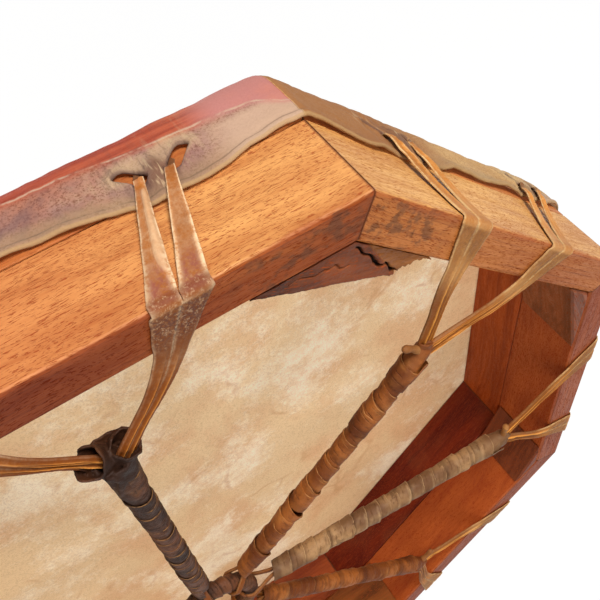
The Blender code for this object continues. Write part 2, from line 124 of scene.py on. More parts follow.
def ripples(points, size, seed, count=18):
    """Smooth bumps between about -1 and 1, one bump for each length of size."""
    rng = np.random.default_rng(seed)
    ways = rng.normal(size=(count, 3))
    ways /= np.linalg.norm(ways, axis=1)[:, None]
    ways *= (2 * math.pi / size) * rng.uniform(0.6, 1.5, count)[:, None]
    turns = rng.uniform(0, 2 * math.pi, count)
    flat = np.asarray(points, float).reshape(-1, 3)
    total = np.sin(flat @ ways.T + turns).sum(axis=1) / math.sqrt(count)
    return total.reshape(np.asarray(points).shape[:-1])


def smooth(x, low, high):
    """0 below low, 1 above high and a soft step between them."""
    t = np.clip((np.asarray(x, float) - low) / (high - low), 0, 1)
    return t * t * (3 - 2 * t)


def bump(x, middle, reach, power=2):
    return np.exp(-np.abs((np.asarray(x, float) - middle) / reach) ** power)


def unit(v):
    """Directions made one long."""
    return v / np.linalg.norm(v, axis=-1, keepdims=True)


def add_piece(name, node_name, points, faces, finishes, marks, slots=None, crease=50):
    """A piece that stands for a node, with named numbers stored on its points."""
    mesh = bpy.data.meshes.new(name)
    mesh.from_pydata(points.tolist(), [], faces)
    mesh.shade_smooth()
    mesh.set_sharp_from_angle(angle=math.radians(crease))
    for finish in finishes:
        mesh.materials.append(finish)
    if slots is not None:
        mesh.polygons.foreach_set("material_index", np.asarray(slots, np.int32))
    for mark, values in marks.items():
        layer = mesh.attributes.new(mark, "FLOAT", "POINT")
        layer.data.foreach_set("value", np.asarray(values, np.float32).ravel())
    piece = in_scene(name, mesh)
    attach(piece, "root")
    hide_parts(node_name)
    print(name, len(mesh.vertices), "points")
    return piece


def strip_faces(rows, columns, closed_across=False, closed_along=False):
    """Four-sided faces between the points of a grid, row after row."""
    r = np.arange(rows if closed_along else rows - 1)
    c = np.arange(columns if closed_across else columns - 1)
    r, c = np.meshgrid(r, c, indexing="ij")
    r1, c1 = (r + 1) % rows, (c + 1) % columns
    quads = np.stack([r * columns + c, r * columns + c1,
                      r1 * columns + c1, r1 * columns + c], axis=-1)
    return quads.reshape(-1, 4)


def tube_faces(rings, first=0, closed=False):
    """Faces round rings of points: capped at both ends, or meeting if it is closed."""
    rows, columns = rings.shape[:2]
    faces = (strip_faces(rows, columns, True, closed) + first).tolist()
    if not closed:
        last = first + (rows - 1) * columns
        faces += [list(range(first, first + columns))[::-1], list(range(last, last + columns))]
    return faces


# %% [markdown]
# ## Finishes
# Every finish is worked out from the place on the drum, with no pictures. A value of
# a material can be added, multiplied, ramped and used to mix colours, and each such
# step becomes one node. What two materials share is a node group: a small machine
# with named inputs and outputs.

# %% Helpers for materials
class Value:
    """What a node of a material gives, which plain sums can be written with."""

    def __init__(self, made, output=0):
        self.socket = made.outputs[output]
        self.tree = made.id_data

    def maths(self, operation, other=None, clamp=False):
        made = node(self.tree, "ShaderNodeMath", {0: self}, operation=operation, use_clamp=clamp)
        if other is not None:
            plug(other, made.inputs[1])
        return Value(made)

    def __add__(self, other):
        return self.maths("ADD", other)

    def __sub__(self, other):
        return self.maths("SUBTRACT", other)

    def __mul__(self, other):
        return self.maths("MULTIPLY", other)

    def __abs__(self):
        return self.maths("ABSOLUTE")


def plug(value, socket):
    """Gives a node's input a value, a colour or a number."""
    if isinstance(value, Value):
        value.tree.links.new(value.socket, socket)
    elif socket.type == "RGBA":
        socket.default_value = (*value, 1)
    else:
        socket.default_value = value


def node(tree, kind, inputs=None, **settings):
    made = tree.nodes.new(kind)
    for key, value in settings.items():
        setattr(made, key, value)
    for label, value in (inputs or {}).items():
        plug(value, made.inputs[label])
    return made


def ramp(value, low, high, out_low=0.0, out_high=1.0):
    """A soft step from out_low to out_high as value goes from low to high."""
    return Value(node(value.tree, "ShaderNodeMapRange", {
        "Value": value, "From Min": low, "From Max": high, "To Min": out_low,
        "To Max": out_high}, interpolation_type="SMOOTHSTEP"), "Result")


def mix(factor, a, b, how="MIX"):
    """Colour a blended to colour b, where each is a value or three numbers."""
    tree = next(v.tree for v in (factor, a, b) if isinstance(v, Value))
    return Value(node(tree, "ShaderNodeMix", {0: factor, 6: a, 7: b}, data_type="RGBA",
                      blend_type=how, clamp_factor=True), 2)


def dyed(colour, tone):
    return mix(1.0, colour, tone, "MULTIPLY")


def noise(place, scale, detail=3.0, rough=0.55, distortion=0.0):
    return Value(node(place.tree, "ShaderNodeTexNoise", {
        "Vector": place, "Scale": scale, "Detail": detail, "Roughness": rough,
        "Distortion": distortion}), "Fac")


def cells(place, scale, feature="F1"):
    """How far a place is from the nearest spot, or from the edge between two spots."""
    return Value(node(place.tree, "ShaderNodeTexVoronoi", {"Vector": place, "Scale": scale},
                      feature=feature), "Distance")


def stretch(place, scale, move=(0, 0, 0), spin=(0, 0, 0)):
    return Value(node(place.tree, "ShaderNodeMapping", {
        "Vector": place, "Scale": scale, "Location": move, "Rotation": spin}), "Vector")


def vectors(operation, a, b, output=0, label=1):
    """Two places added, a place scaled or a distance."""
    return Value(node(a.tree, "ShaderNodeVectorMath", {0: a, label: b}, operation=operation),
                 output)


def axes_of(place):
    made = node(place.tree, "ShaderNodeSeparateXYZ", {0: place})
    return [Value(made, axis) for axis in "XYZ"]


def make_group(name, work, **takes):
    """A node group whose colour, roughness and height work makes from its inputs."""
    tree = bpy.data.node_groups.new(name, "ShaderNodeTree")
    takes = {"Place": "Vector", **takes}
    gives = {"Color": "Color", "Roughness": "Float", "Height": "Float"}
    for way, sockets in (("INPUT", takes), ("OUTPUT", gives)):
        for label, kind in sockets.items():
            tree.interface.new_socket(name=label, in_out=way, socket_type="NodeSocket" + kind)
    start, end = node(tree, "NodeGroupInput"), node(tree, "NodeGroupOutput")
    for label, value in zip(gives, work(*[Value(start, label) for label in takes])):
        plug(value, end.inputs[label])
    return tree


def use_group(group, place, *given):
    made = node(place.tree, "ShaderNodeGroup", node_tree=group)
    for socket, value in zip(made.inputs, (place, *given)):
        plug(value, socket)
    return [Value(made, label) for label in ("Color", "Roughness", "Height")]


def new_material(name, *marks):
    """A material, the place on the drum and numbers stored on the piece's points."""
    made = bpy.data.materials.new(name)
    made.use_nodes = True
    tree = made.node_tree
    stored = [Value(node(tree, "ShaderNodeAttribute", attribute_name=mark), "Fac")
              for mark in marks]
    return [made, Value(node(tree, "ShaderNodeTexCoord"), "Object"), *stored]


def finish_with(made, colour, rough, specular, height, distance, strength):
    """Gives the material's shader its colour, roughness, shine and small bumps."""
    bumps = node(made.node_tree, "ShaderNodeBump", {
        "Height": height, "Distance": distance, "Strength": strength})
    for label, value in (("Base Color", colour), ("Roughness", rough),
                         ("Specular IOR Level", specular), ("Normal", Value(bumps, "Normal"))):
        plug(value, made.node_tree.nodes["Principled BSDF"].inputs[label])
    return made


# %% [markdown]
# ### Oiled softwood
# The boards are stained orange-brown and oiled. Up close the real ones show broad
# bands that drift along the board, fine dark dashes where the pores are open, and a
# redder tone where hands and stain darkened the edges. Noise stretched ten to forty
# times along the grain gives both bands and dashes. An image would give the same from
# one side only, so the grain is computed in three dimensions.

# %% Wood group
def wood_grain(place, light, dark, pores, bands, blotches):
    wander = noise(stretch(place, (9, 26, 26)), 1.0, 2.0)
    sway = node(place.tree, "ShaderNodeCombineXYZ", {"Y": wander * 0.02, "Z": wander * 0.03})
    swayed = vectors("ADD", place, Value(sway))
    broad = noise(stretch(swayed, (9, 95, 95)), 1.0, 4.0, 0.6)
    fine = noise(stretch(swayed, (26, 620, 620)), 1.0, 3.0, 0.6)
    dashes = noise(stretch(swayed, (330, 3700, 3700)), 1.0, 2.0, 0.6)
    clouds = noise(stretch(place, (16, 22, 22)), 1.0, 4.0, 0.6)
    fibres = ramp(fine, 0.3, 0.72, 0.0, 0.34)
    tone = (ramp(broad, 0.36, 0.66) * bands).maths("ADD", fibres, clamp=True)
    colour = mix(tone, light, dark)
    colour = mix(ramp(clouds, 0.5, 0.72) * blotches, colour, (0.20, 0.055, 0.018))
    pore = ramp(dashes, 0.545, 0.65).maths("MULTIPLY", pores, clamp=True)
    colour = mix(pore, colour, (0.29, 0.060, 0.015))
    return colour, ramp(fine, 0.3, 0.7, 0.40, 0.56) + pore, fine * 0.5 - pore


WOOD = make_group("wood grain", wood_grain, Light="Color", Dark="Color", Pores="Float",
                  Bands="Float", Blotches="Float")


def wood_material(name, side, light, dark, grain, back_tone, shift, mitre=0.8,
                  stained_at=None, left_tone=None, outer_face=None, inner_face=None,
                  marks=()):
    """One board's wood: grain, a back face darkened partly by stain and partly by painted shade,
    rubbed edges and dark mitres.
    """
    made, at, *cracks = new_material(name, *marks)
    # turned so that X runs along the board, Y goes deep and Z goes out
    place = stretch(stretch(at, (1, 1, 1), tuple(-HOME)), (1, 1, 1), (shift, 0, 0),
                    (0, -side * STEP, 0))
    colour, rough, height = use_group(WOOD, place, light, dark, *grain)
    x, deep, out = axes_of(place)
    on_back = ramp(deep, 0.0007, 0.0001)
    ragged = noise(stretch(place, (60, 300, 300)), 1.0, 3.0)
    # the back face made darker and redder: partly a redder stain, partly painted shade
    colour = mix(on_back, colour, back_tone, "MULTIPLY")
    lines = noise(stretch(place, (20, 1100, 1100)), 1.0, 3.0, 0.6)
    colour = mix(ramp(lines, 0.50, 0.66, 0.0, 0.6) * on_back, colour,
                 dyed(colour, (0.50, 0.36, 0.26)))
    if inner_face:
        on_inside = ramp(out, R_IN + 0.0008, R_IN + 0.0003)
        colour = mix(on_inside, colour, inner_face, "MULTIPLY")
    if outer_face:
        on_outside = ramp(out, R_OUT - 0.0012, R_OUT - 0.0004)
        colour = mix(on_outside, colour, use_group(WOOD, place, *outer_face, *grain)[0])
    from_middle = x - shift
    if stained_at is not None:
        near = ramp(abs(from_middle - stained_at), 0.028, 0.010)
        spots = noise(stretch(place, (150, 150, 190)), 1.0, 3.0, 0.6)
        spots = near * ramp(spots, 0.47, 0.60) * on_back
        colour = mix(spots * 0.6, colour, (0.060, 0.026, 0.013))
    if left_tone:
        leftward = ramp(from_middle, 0.055, -0.015)
        colour = mix(leftward, colour, dyed(colour, left_tone))
        colour = mix(leftward * on_back * 0.8, colour, dyed(colour, (0.52, 0.38, 0.20)))
    if cracks:
        crack, paler_part = cracks
        paler = mix(ramp(ragged, 0.35, 0.65), (0.31, 0.112, 0.028), (0.20, 0.066, 0.017))
        colour = mix(paler_part, colour, paler)
        colour = mix(ramp(crack, 0.15, 0.6), colour, (0.012, 0.005, 0.003))
    joint = ramp(out * TAN - abs(from_middle), 0.0009, 0.0002, 0.0, mitre)
    colour = mix(joint, colour, (0.12, 0.030, 0.010))
    near_edge = ramp(deep, 0.0042, 0.0006) * ramp(out, R_OUT - 0.0042, R_OUT - 0.0006)
    rubbed = near_edge * ramp(ragged, 0.35, 0.65) * 0.55
    colour = mix(rubbed, colour, (0.30, 0.07, 0.022))
    return finish_with(made, colour, rough, 0.16, height, 0.00022, 0.6)


# %% [markdown]
# The boards and blocks already have the right shape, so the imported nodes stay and
# only get their wood. Every board has its own tone and its own stretch of grain, as
# boards cut from one plank do.

# %% Wood of the boards
OUTER_TONES = (
    ((0.60, 0.280, 0.088), (0.38, 0.125, 0.032)),
    ((0.72, 0.390, 0.120), (0.46, 0.190, 0.052)),
    ((0.50, 0.190, 0.055), (0.32, 0.090, 0.022)),
    ((0.46, 0.170, 0.048), (0.29, 0.078, 0.020)),
)
INNER_TONES = (
    ((0.34, 0.070, 0.015), (0.15, 0.020, 0.004)),
    ((0.34, 0.070, 0.013), (0.15, 0.020, 0.003)),
    ((0.42, 0.075, 0.006), (0.20, 0.026, 0.001)),
    ((0.17, 0.016, 0.002), (0.08, 0.005, 0.001)),
)
# How much darker and redder each back face is made: partly stain, partly painted shade.
BACK_STAIN_AND_SHADE = ((0.58, 0.34, 0.19), (0.66, 0.42, 0.31), (0.62, 0.38, 0.28),
              (0.60, 0.36, 0.26))
BLOCK_TONES = ((0.25, 0.070, 0.014), (0.30, 0.080, 0.020), (0.20, 0.045, 0.014))
STAINED_AT = {0: 0.062, 1: -0.064}
LEFT_TONE = {0: (0.92, 0.76, 0.76)}
RIM_TONES = ((0.52, 0.190, 0.052), (0.34, 0.090, 0.022))
# how many pores, bands and blotches each kind of wood has
BACK_GRAIN, FRONT_GRAIN, BLOCK_GRAIN = (0.85, 0.62, 0.18), (0.6, 0.75, 0.4), (0.9, 0.8, 0.5)

for side in range(SIDES):
    number = side + 1
    block_tone = BLOCK_TONES[side % 3]
    finishes = {
        "back_board": wood_material(
            f"back board wood {number}", side, *OUTER_TONES[side % 4], BACK_GRAIN,
            BACK_STAIN_AND_SHADE[side % 4], 0.31 * side, stained_at=STAINED_AT.get(side),
            left_tone=LEFT_TONE.get(side), inner_face=(0.80, 0.46, 0.28)),
        "front_board": wood_material(
            f"front board wood {number}", side, *INNER_TONES[side % 4], FRONT_GRAIN,
            (1, 1, 1), 0.17 + 0.29 * side, outer_face=RIM_TONES),
        "corner_block": wood_material(
            f"block wood {number}", side + 0.5, block_tone,
            tuple(c * 0.42 for c in block_tone), BLOCK_GRAIN, (1.0, 0.95, 0.95),
            0.07 + 0.41 * side, 0.0),
    }
    for kind, finish in finishes.items():
        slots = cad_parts[f"{kind}_{number}"].data.materials
        slots.clear()
        slots.append(finish)
print("wood on", 3 * SIDES, "nodes")

# %% [markdown]
# ## The cracked glue block
# The block in the corner beside the laced side is the roughest piece of the drum. It
# was sawn from a scrap, it split when the glue dried, and its free corner broke away.
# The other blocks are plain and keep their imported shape. This one is built again as a
# sheet between its free edge and its two glued edges, closed by walls and a bottom. A
# crack is a furrow along a jagged line, and the broken edge is chipped in and out.

# %% Lines of the cracked block
BLOCK_DEEP = 0.0319
GLUED = R_IN - GAP
FREE_EDGE = ((0.0450, 0.1843), (0.0547, 0.1789), (0.0672, 0.1726), (0.0780, 0.1672),
             (0.0898, 0.1609), (0.0922, 0.1622), (0.0940, 0.1611), (0.0965, 0.1621),
             (0.0982, 0.1608), (0.1002, 0.1604), (0.1017, 0.1594))
CRACKS = (((0.0768, 0.1820), (0.0779, 0.1803), (0.0805, 0.1768), (0.0818, 0.1722),
           (0.0862, 0.1680), (0.0886, 0.1632), (0.0905, 0.1598)),
          ((0.0560, 0.1822), (0.0625, 0.1801), (0.0660, 0.1802), (0.0735, 0.1770)))
LOWER_PART = 0.0006
WALL_LEVELS = (0.0016, 0.003, 0.006, 0.010, 0.015, 0.021, 0.027)


def run_along(points):
    """How far along a line with corners each corner lies."""
    steps = np.linalg.norm(np.diff(points, axis=0), axis=1)
    return np.concatenate([[0], np.cumsum(steps)])


def spaced_line(corners, count):
    corners = np.array(corners, float)
    at = run_along(corners)
    where = np.linspace(0, at[-1], count)
    return np.stack([np.interp(where, at, column) for column in corners.T], axis=1)


def off_line(spots, corners):
    """How far each place is from a line with several corners."""
    best = np.full(spots.shape[:-1], 1.0)
    for a, b in zip(np.array(corners[:-1]), np.array(corners[1:])):
        share = np.clip(((spots - a) @ (b - a)) / ((b - a) @ (b - a)), 0, 1)
        near = a + share[..., None] * (b - a)
        best = np.minimum(best, np.linalg.norm(spots - near, axis=-1))
    return best


# %% Cracked block
def build_broken_block(finish):
    across, up = 150, 52
    last = on_side(1, -0.0399, GLUED, 0.0) - HOME
    glued = spaced_line([(0.0444, GLUED), (GLUED * TAN, GLUED), (last[0], last[2])], across)
    free = spaced_line(FREE_EDGE, across)
    flat = np.insert(free, 1, 0, axis=1)
    chipped = 0.12 + 0.88 * smooth(free[:, 0], 0.084, 0.091)
    free[:, 1] += 0.0007 * chipped * ripples(flat, 0.0045, 31)
    free[:, 1] += 0.0003 * chipped * ripples(flat, 0.0013, 32)
    t = np.linspace(0, 1, up)
    spots = free[:, None] * (1 - t)[None, :, None] + glued[:, None] * t[None, :, None]
    places = np.insert(spots, 1, 0, axis=-1)
    wander = [ripples(places, 0.006, seed) for seed in (33, 34)]
    wander = 0.0006 * np.stack(wander, axis=-1)
    gaps = [off_line(spots + wander, line) for line in CRACKS]
    crack = np.maximum(bump(gaps[0], 0, 0.00034), 0.45 * bump(gaps[1], 0, 0.00018))
    edge_on = smooth(np.arange(across), 0, 3) * smooth(np.arange(across)[::-1], 0, 3)
    beyond = spots[..., 0] - 0.0795 - 0.45 * (0.182 - spots[..., 1])
    lower = LOWER_PART * smooth(beyond, 0, LOWER_PART)
    eased = (1 - smooth(t, 0, 0.03))[None] * (0.4 + 0.6 * chipped[:, None])
    deep = GAP + (0.0019 * crack + lower) * edge_on[:, None] + 0.0009 * eased
    deep += 0.00010 * (1 + ripples(places, 0.007, 35)) + 0.00006 * ripples(places, 0.0018, 36)

    number = np.arange(across * up).reshape(across, up)
    loop = np.concatenate([number[:, 0], number[-1, 1:], number[-2::-1, -1], number[0, -2:0:-1]])
    spots, places = spots.reshape(-1, 2), places.reshape(-1, 3)
    points = [on_side(0, *spots.T, np.maximum(deep, 0.0002).ravel()),
              on_side(0, *spots.T, BLOCK_DEEP + 0 * deep.ravel())]
    in_free_edge = np.arange(len(loop)) < across
    for level in WALL_LEVELS:
        rough = 0.0005 * ripples(places[loop] + (0, level, 0), 0.006, 37)
        rough += 0.0005 * ripples(places[loop] * 3 + (0, level * 0.3, 0), 0.004, 38)
        x, out = spots[loop].T
        points.append(on_side(0, x, out - in_free_edge * (rough - 0.0004), level + 0 * x))
    quads = strip_faces(across, up)
    faces = quads.tolist() + (quads[:, ::-1] + across * up).tolist()
    rings = 2 * across * up + np.arange(len(loop) * len(WALL_LEVELS)).reshape(-1, len(loop))
    rows = [loop, *rings, loop + across * up]
    for a, b in zip(rows, rows[1:]):
        faces += np.stack([a, np.roll(a, -1), np.roll(b, -1), b], axis=1).tolist()
    paler = np.clip(lower.ravel() / LOWER_PART, 0, 1)
    marks = {"crack": np.concatenate([crack.ravel(), np.zeros(across * up + rings.size)]),
             "paler_part": np.concatenate([paler, paler] + [paler[loop]] * len(WALL_LEVELS))}
    piece = add_piece("cracked_block", "corner_block_1", np.concatenate(points),
                      faces, (finish,), marks, crease=40)
    facing = bmesh.new()
    facing.from_mesh(piece.data)
    bmesh.ops.recalc_face_normals(facing, faces=facing.faces)
    facing.to_mesh(piece.data)
    facing.free()


build_broken_block(wood_material(
    "cracked block wood", 0.5, (0.20, 0.062, 0.024), (0.055, 0.016, 0.007), (0.9, 1.0, 1.4),
    (1.0, 0.9, 0.85), 0.53, 0.0, marks=("crack", "paler_part")))


# %% [markdown]
# ## The rawhide head
# A wet skin is laid over the front of the frame, folded over its rounded edge, drawn
# down the rim and cut off there. Straps are passed through pairs of slits while it is
# wet. As it dries it shrinks: it bulges over the strap between the slits, the slits
# gape, small creases run up from them and the cut edge is drawn back. The sheet is
# made as a grid that follows the rim, with its columns crowded round the slits, since
# nothing finer than the grid can be shaped.

# %% Sizes of the skirt and its slits
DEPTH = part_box("front_board_1")[1].y - BACK_Y
ROUNDING = 0.0125
FOLD_START = DEPTH - ROUNDING
FOLD_RUN = ROUNDING * math.pi / 2
HIDE = 0.0012
STANDING_SIDE = 4
SLIT_ABOVE_CUT = 0.0048

# For each side two pairs of slits: where the middle is and where the straps cross the
# back edge, as shares of half a side, and half the distance between the slits.
PAIRS = (
    ((-0.55, -0.46, 0.0052), (0.50, 0.34, 0.0050)),
    ((-0.45, -0.39, 0.0070), (0.71, 0.32, 0.0062)),
    ((-0.38, -0.28, 0.0058), (0.68, 0.57, 0.0056)),
    ((-0.52, -0.40, 0.0060), (0.48, 0.38, 0.0054)),
    ((-0.50, -0.42, 0.0052), (0.50, 0.40, 0.0060)),
    ((-0.56, -0.38, 0.0058), (0.46, 0.36, 0.0052)),
    ((-0.47, -0.41, 0.0050), (0.57, 0.42, 0.0062)),
    ((-0.52, -0.36, 0.0064), (0.49, 0.41, 0.0056)),
)
CUT_AT_CORNER = (0.0325, 0.0382, 0.0350, 0.0290, 0.0285, 0.0320, 0.0345, 0.0340)
# Waves of the cut edge on the sides that show: place, height and reach.
HEM_WAVES = {
    0: ((0.057, -0.0016, 0.007), (0.000, 0.0019, 0.014), (0.074, 0.0006, 0.005)),
    1: ((-0.060, -0.0038, 0.011), (-0.022, -0.0030, 0.013), (0.012, -0.0022, 0.016),
        (0.074, 0.0016, 0.009)),
}


def pairs_of(side):
    return [(middle * HALF_SIDE, edge * HALF_SIDE, spread)
            for middle, edge, spread in PAIRS[side]]


def cut_level(side, u):
    share = (u / HALF_SIDE + 1) / 2
    return CUT_AT_CORNER[side - 1] * (1 - share) + CUT_AT_CORNER[side] * share


def hem_line(side, u):
    """How deep the cut edge lies: straps draw it back, and it waves a little."""
    pull = sum(bump(u, middle, spread + 0.011) for middle, _, spread in pairs_of(side))
    line = cut_level(side, u) - 0.0045 * np.minimum(pull, 1)
    for at, height, reach in HEM_WAVES.get(side, ()):
        line = line + height * bump(u, at, reach)
    return line + 0.00022 * ripples(on_side(side, u, R_OUT, 0.0), 0.009, 11)


def slit_line(side, u):
    """The line that the slits are cut along: it climbs away from a pair's middle."""
    climb = 0.0
    for middle, _, spread in pairs_of(side):
        away = np.abs(u - middle)
        climb = climb + (smooth(away, spread - 0.0025, spread + 0.0062)
                         * (1 - smooth(away, spread + 0.0066, spread + 0.020)))
    return cut_level(side, u) + SLIT_ABOVE_CUT + 0.0044 * climb


def slit_share(side, u):
    """How far along a slit a place is, from 0 at its inner tip to 1 at the outer."""
    share = np.full(np.shape(u), -1.0)
    for middle, _, spread in pairs_of(side):
        t = (np.abs(u - middle) - (spread - 0.0022)) / 0.0086
        share = np.where((t > 0) & (t < 1), t, share)
    return share


def slit_gape(side, u):
    t = np.clip(slit_share(side, u), 0, 1)
    return 0.00275 * np.sin(math.pi * t ** 0.85) ** 0.75


print("skirt depth", round(FOLD_START - CUT_AT_CORNER[0], 4), "fold", round(FOLD_RUN, 4))


# %% Columns and rows of the skirt
LOW_ROWS, HIGH_ROWS, FOLD_ROWS = 10, 12, 9
COLUMN_STEP, SLIT_STEP, CORNER_STEP = 0.0023, 0.00068, 0.0016


def columns_of(side):
    """Places along a side, close together round the slits and at the corner."""
    line = np.linspace(-HALF_SIDE, HALF_SIDE, 4001)
    density = np.full(line.shape, 1 / COLUMN_STEP)
    for middle, _, spread in pairs_of(side):
        reach = smooth(-np.abs(line - middle), -spread - 0.013, -spread - 0.007)
        density += reach / SLIT_STEP
    density += smooth(np.abs(line), HALF_SIDE - 0.006, HALF_SIDE - 0.002) / CORNER_STEP
    total = np.concatenate([[0], np.cumsum((density[1:] + density[:-1]) / 2)])
    total *= line[1] - line[0]
    count = int(total[-1])
    return np.interp(np.arange(count) * total[-1] / count, total, line)


def skirt_rows(side, u):
    """Depths of the rows below and above the slits, each from its own slit lip."""
    hem, middle, gape = hem_line(side, u), slit_line(side, u), slit_gape(side, u)
    share = 0.5 - 0.5 * np.cos(math.pi * np.linspace(0, 1, LOW_ROWS + 1))[:, None]
    low = hem + (middle - gape - hem) * share
    share = (np.linspace(0, 1, HIGH_ROWS + 1) ** 1.35)[:, None]
    high = middle + gape + (FOLD_START - middle - gape) * share
    return low, high


def hide_lift(side, u, w):
    """How far the hide's inner face stands off the wood at places of the skirt."""
    room = 0.12 if side == STANDING_SIDE else 1.0
    place = on_side(side, u, R_OUT, w)
    lift = 0.00085 + 0.00022 * ripples(place, 0.021, 5) + 0.00012 * ripples(place, 0.006, 6)
    off_slit = np.abs(w - slit_line(side, u)) - slit_gape(side, u)
    for middle, edge, spread in pairs_of(side):
        a = u - middle
        level = cut_level(side, middle) + SLIT_ABOVE_CUT
        lobe = bump(a, 0, spread * 0.72, 2.6) * smooth(w, level - 0.0133, level - 0.002)
        lobe = lobe * (1 - smooth(w, level + 0.0005, level + 0.0085))
        above = smooth(w, level - 0.003, level + 0.0015)
        above = above * (1 - smooth(w, level + 0.003, level + 0.0115))
        fan = a / (0.0042 + 0.55 * np.maximum(w - level, 0))
        creases = np.cos(fan * 6.2 + 1.3 * side) + 0.5 * np.cos(fan * 11.0 + side)
        lift = lift + room * (0.0019 * lobe + 0.00038 * above * creases * bump(a, 0, 0.0115))
        for way in (-1, 1):
            at_slit, at_edge = middle + way * spread, edge + way * 0.004
            slope = (at_slit - at_edge) / 0.041
            under_strap = at_slit + slope * (w - level - 0.004) - way * 0.0006
            press = bump(u, under_strap, 0.0021) * (1 - smooth(w, level - 0.001, level + 0.001))
            rim = bump(a, way * (spread + 0.0045), 0.004) * bump(off_slit, 0.0007, 0.0013)
            lift = lift - 0.00075 * press + room * 0.00075 * rim
    hang = smooth(w, hem_line(side, u) + 0.004, hem_line(side, u))
    lift = lift + room * 0.00035 * hang * (1 + ripples(place, 0.016, 8))
    return np.clip(lift, 0.00022, 0.0011 if side == STANDING_SIDE else 0.0045)


def bent(side, u, deep, off, past=None):
    """A point of the skirt or fold, its corner rounded and its columns on the mitre."""
    out = R_OUT + off
    away = HALF_SIDE - np.abs(u)
    out = out - np.maximum(0.0026 - away, 0) ** 2 / 0.0125
    toward = np.maximum(smooth(np.abs(u) / HALF_SIDE, 0.75, 1.0),
                        0 if past is None else smooth(past, -0.004, 0.014))
    return on_side(side, u * (1 + (out / R_OUT - 1) * toward), out, deep)


columns = [columns_of(side) for side in range(SIDES)]
print("columns round the rim:", sum(len(u) for u in columns))


# %% [markdown]
# The hide has an outer and an inner face. Both follow the same columns, and the outer
# one lies a skin's thickness further out. Each point also stores where it is, so the
# finish can put the stain, the haze and the pale edge where the shape has them.

# %% Points of both faces
# Where the stained band along the fold starts on the two upper sides: places along
# the side and how far past the fold, both in millimetres.
STAIN_STARTS = {
    0: ((-83, 4, 19, 36, 50, 66, 74, 80, 83),
        (2.6, 2.3, 1.4, -0.6, -1.7, -2.4, -4.0, -8.5, -9.5)),
    1: ((-83, -76, -68, 0), (-9.5, -2.0, 2.0, 3.0)),
}
STAIN_ELSEWHERE = ((0,), (2.8,))


def skirt_marks(side, u, low, high):
    """What the hide's material has to know about each point of a side."""
    hem, middle, gape = hem_line(side, u), slit_line(side, u), slit_gape(side, u)
    fold = np.linspace(FOLD_RUN / FOLD_ROWS, FOLD_RUN, FOLD_ROWS)[:, None] + 0 * u
    past = np.concatenate([low - FOLD_START, high - FOLD_START, fold]) * 1000
    rows = np.concatenate([low, high, FOLD_START + 0 * fold])
    haze, lobe = 0.0, 0.0
    for centre, _, spread in pairs_of(side):
        level = cut_level(side, centre) + 0.0062
        for way in (-1, 1):
            far = np.hypot((u - centre - way * (spread + 0.0015)) / 0.0085,
                           (rows - level - 0.0035) / 0.0060)
            haze = np.maximum(haze, bump(far, 0, 1))
        far = np.hypot((u - centre) / 0.0045, (rows - level + 0.003) / 0.0060)
        lobe = np.maximum(lobe, bump(far, 0, 1, 4))
    lip = (slit_share(side, u) > 0) * bump(np.abs(rows - middle) - gape, 0, 0.0007)
    return {
        "past_fold": past, "above_hem": (rows - hem) * 1000, "haze": haze, "lobe": lobe,
        "past_stain": past - np.interp(u * 1000, *STAIN_STARTS.get(side, STAIN_ELSEWHERE)),
        "lip": lip, "along_side": np.broadcast_to(u, rows.shape) * 1000,
        "side_number": np.full(rows.shape, side),
    }


def skin_thickness(side, u, rows):
    """The outer face over the inner: rolled at the hem, rounded at the slits' lips."""
    near_lip = np.abs(rows - slit_line(side, u)) - slit_gape(side, u)
    above_hem = rows - hem_line(side, u)
    round_off = np.where(slit_share(side, u) > 0, 0.45 * np.exp(-near_lip / 0.0004), 0)
    round_off = round_off + 0.35 * np.exp(-above_hem / 0.0005)
    roll = 0.13 * bump(above_hem, 0.0012, 0.0008) * (side != STANDING_SIDE)
    return HIDE * (1 - round_off + roll - 0.26 * bump(above_hem, 0.0027, 0.0005))


def skirt_face(outer):
    """Rows of points below the slits and above them with the fold, and their marks."""
    low_rows, high_rows, marks = [], [], []
    for side, u in enumerate(columns):
        low, high = skirt_rows(side, u)
        parts = []
        for rows in (low, high):
            wide = np.broadcast_to(u, rows.shape)
            thick = skin_thickness(side, u, rows) if outer else 0
            parts.append(bent(side, wide, rows, hide_lift(side, wide, rows) + thick))
        start_lift = hide_lift(side, u, np.full(u.shape, FOLD_START))
        for i in range(1, FOLD_ROWS + 1):
            a = math.pi / 2 * i / FOLD_ROWS
            fade = 1 - (i / FOLD_ROWS) ** 2
            wave = ripples(on_side(side, u, R_OUT, 0.05 + 0.01 * a), 0.012, 9)
            lift = GAP + (start_lift - GAP) * fade + 0.00012 * fade * wave
            radius = ROUNDING + np.maximum(lift, GAP) + (HIDE if outer else 0)
            row = bent(side, u, FOLD_START + radius * math.sin(a),
                       radius * math.cos(a) - ROUNDING, np.full(u.shape, a * ROUNDING))
            parts.append(row[None])
        low_rows.append(parts[0])
        high_rows.append(np.concatenate(parts[1:]))
        marks.append(skirt_marks(side, u, low, high))
    marks = {key: np.concatenate([m[key] for m in marks], axis=1) for key in marks[0]}
    return np.concatenate(low_rows, axis=1), np.concatenate(high_rows, axis=1), marks


gape_all = np.concatenate([slit_gape(side, u) for side, u in enumerate(columns)])
open_here = gape_all > 0
print("slit columns:", int(open_here.sum()))

# %% [markdown]
# The two faces meet at the cut edge in a rounded nose and at each slit in a lip. The
# flat head needs far fewer points than the skirt, so its rings have a small even
# number of places on each side and are zipped to the last row of the fold.

# %% The flat head
PER_SIDE, HEAD_RINGS = 20, 22
FAR_PAST_FOLD = 24.0


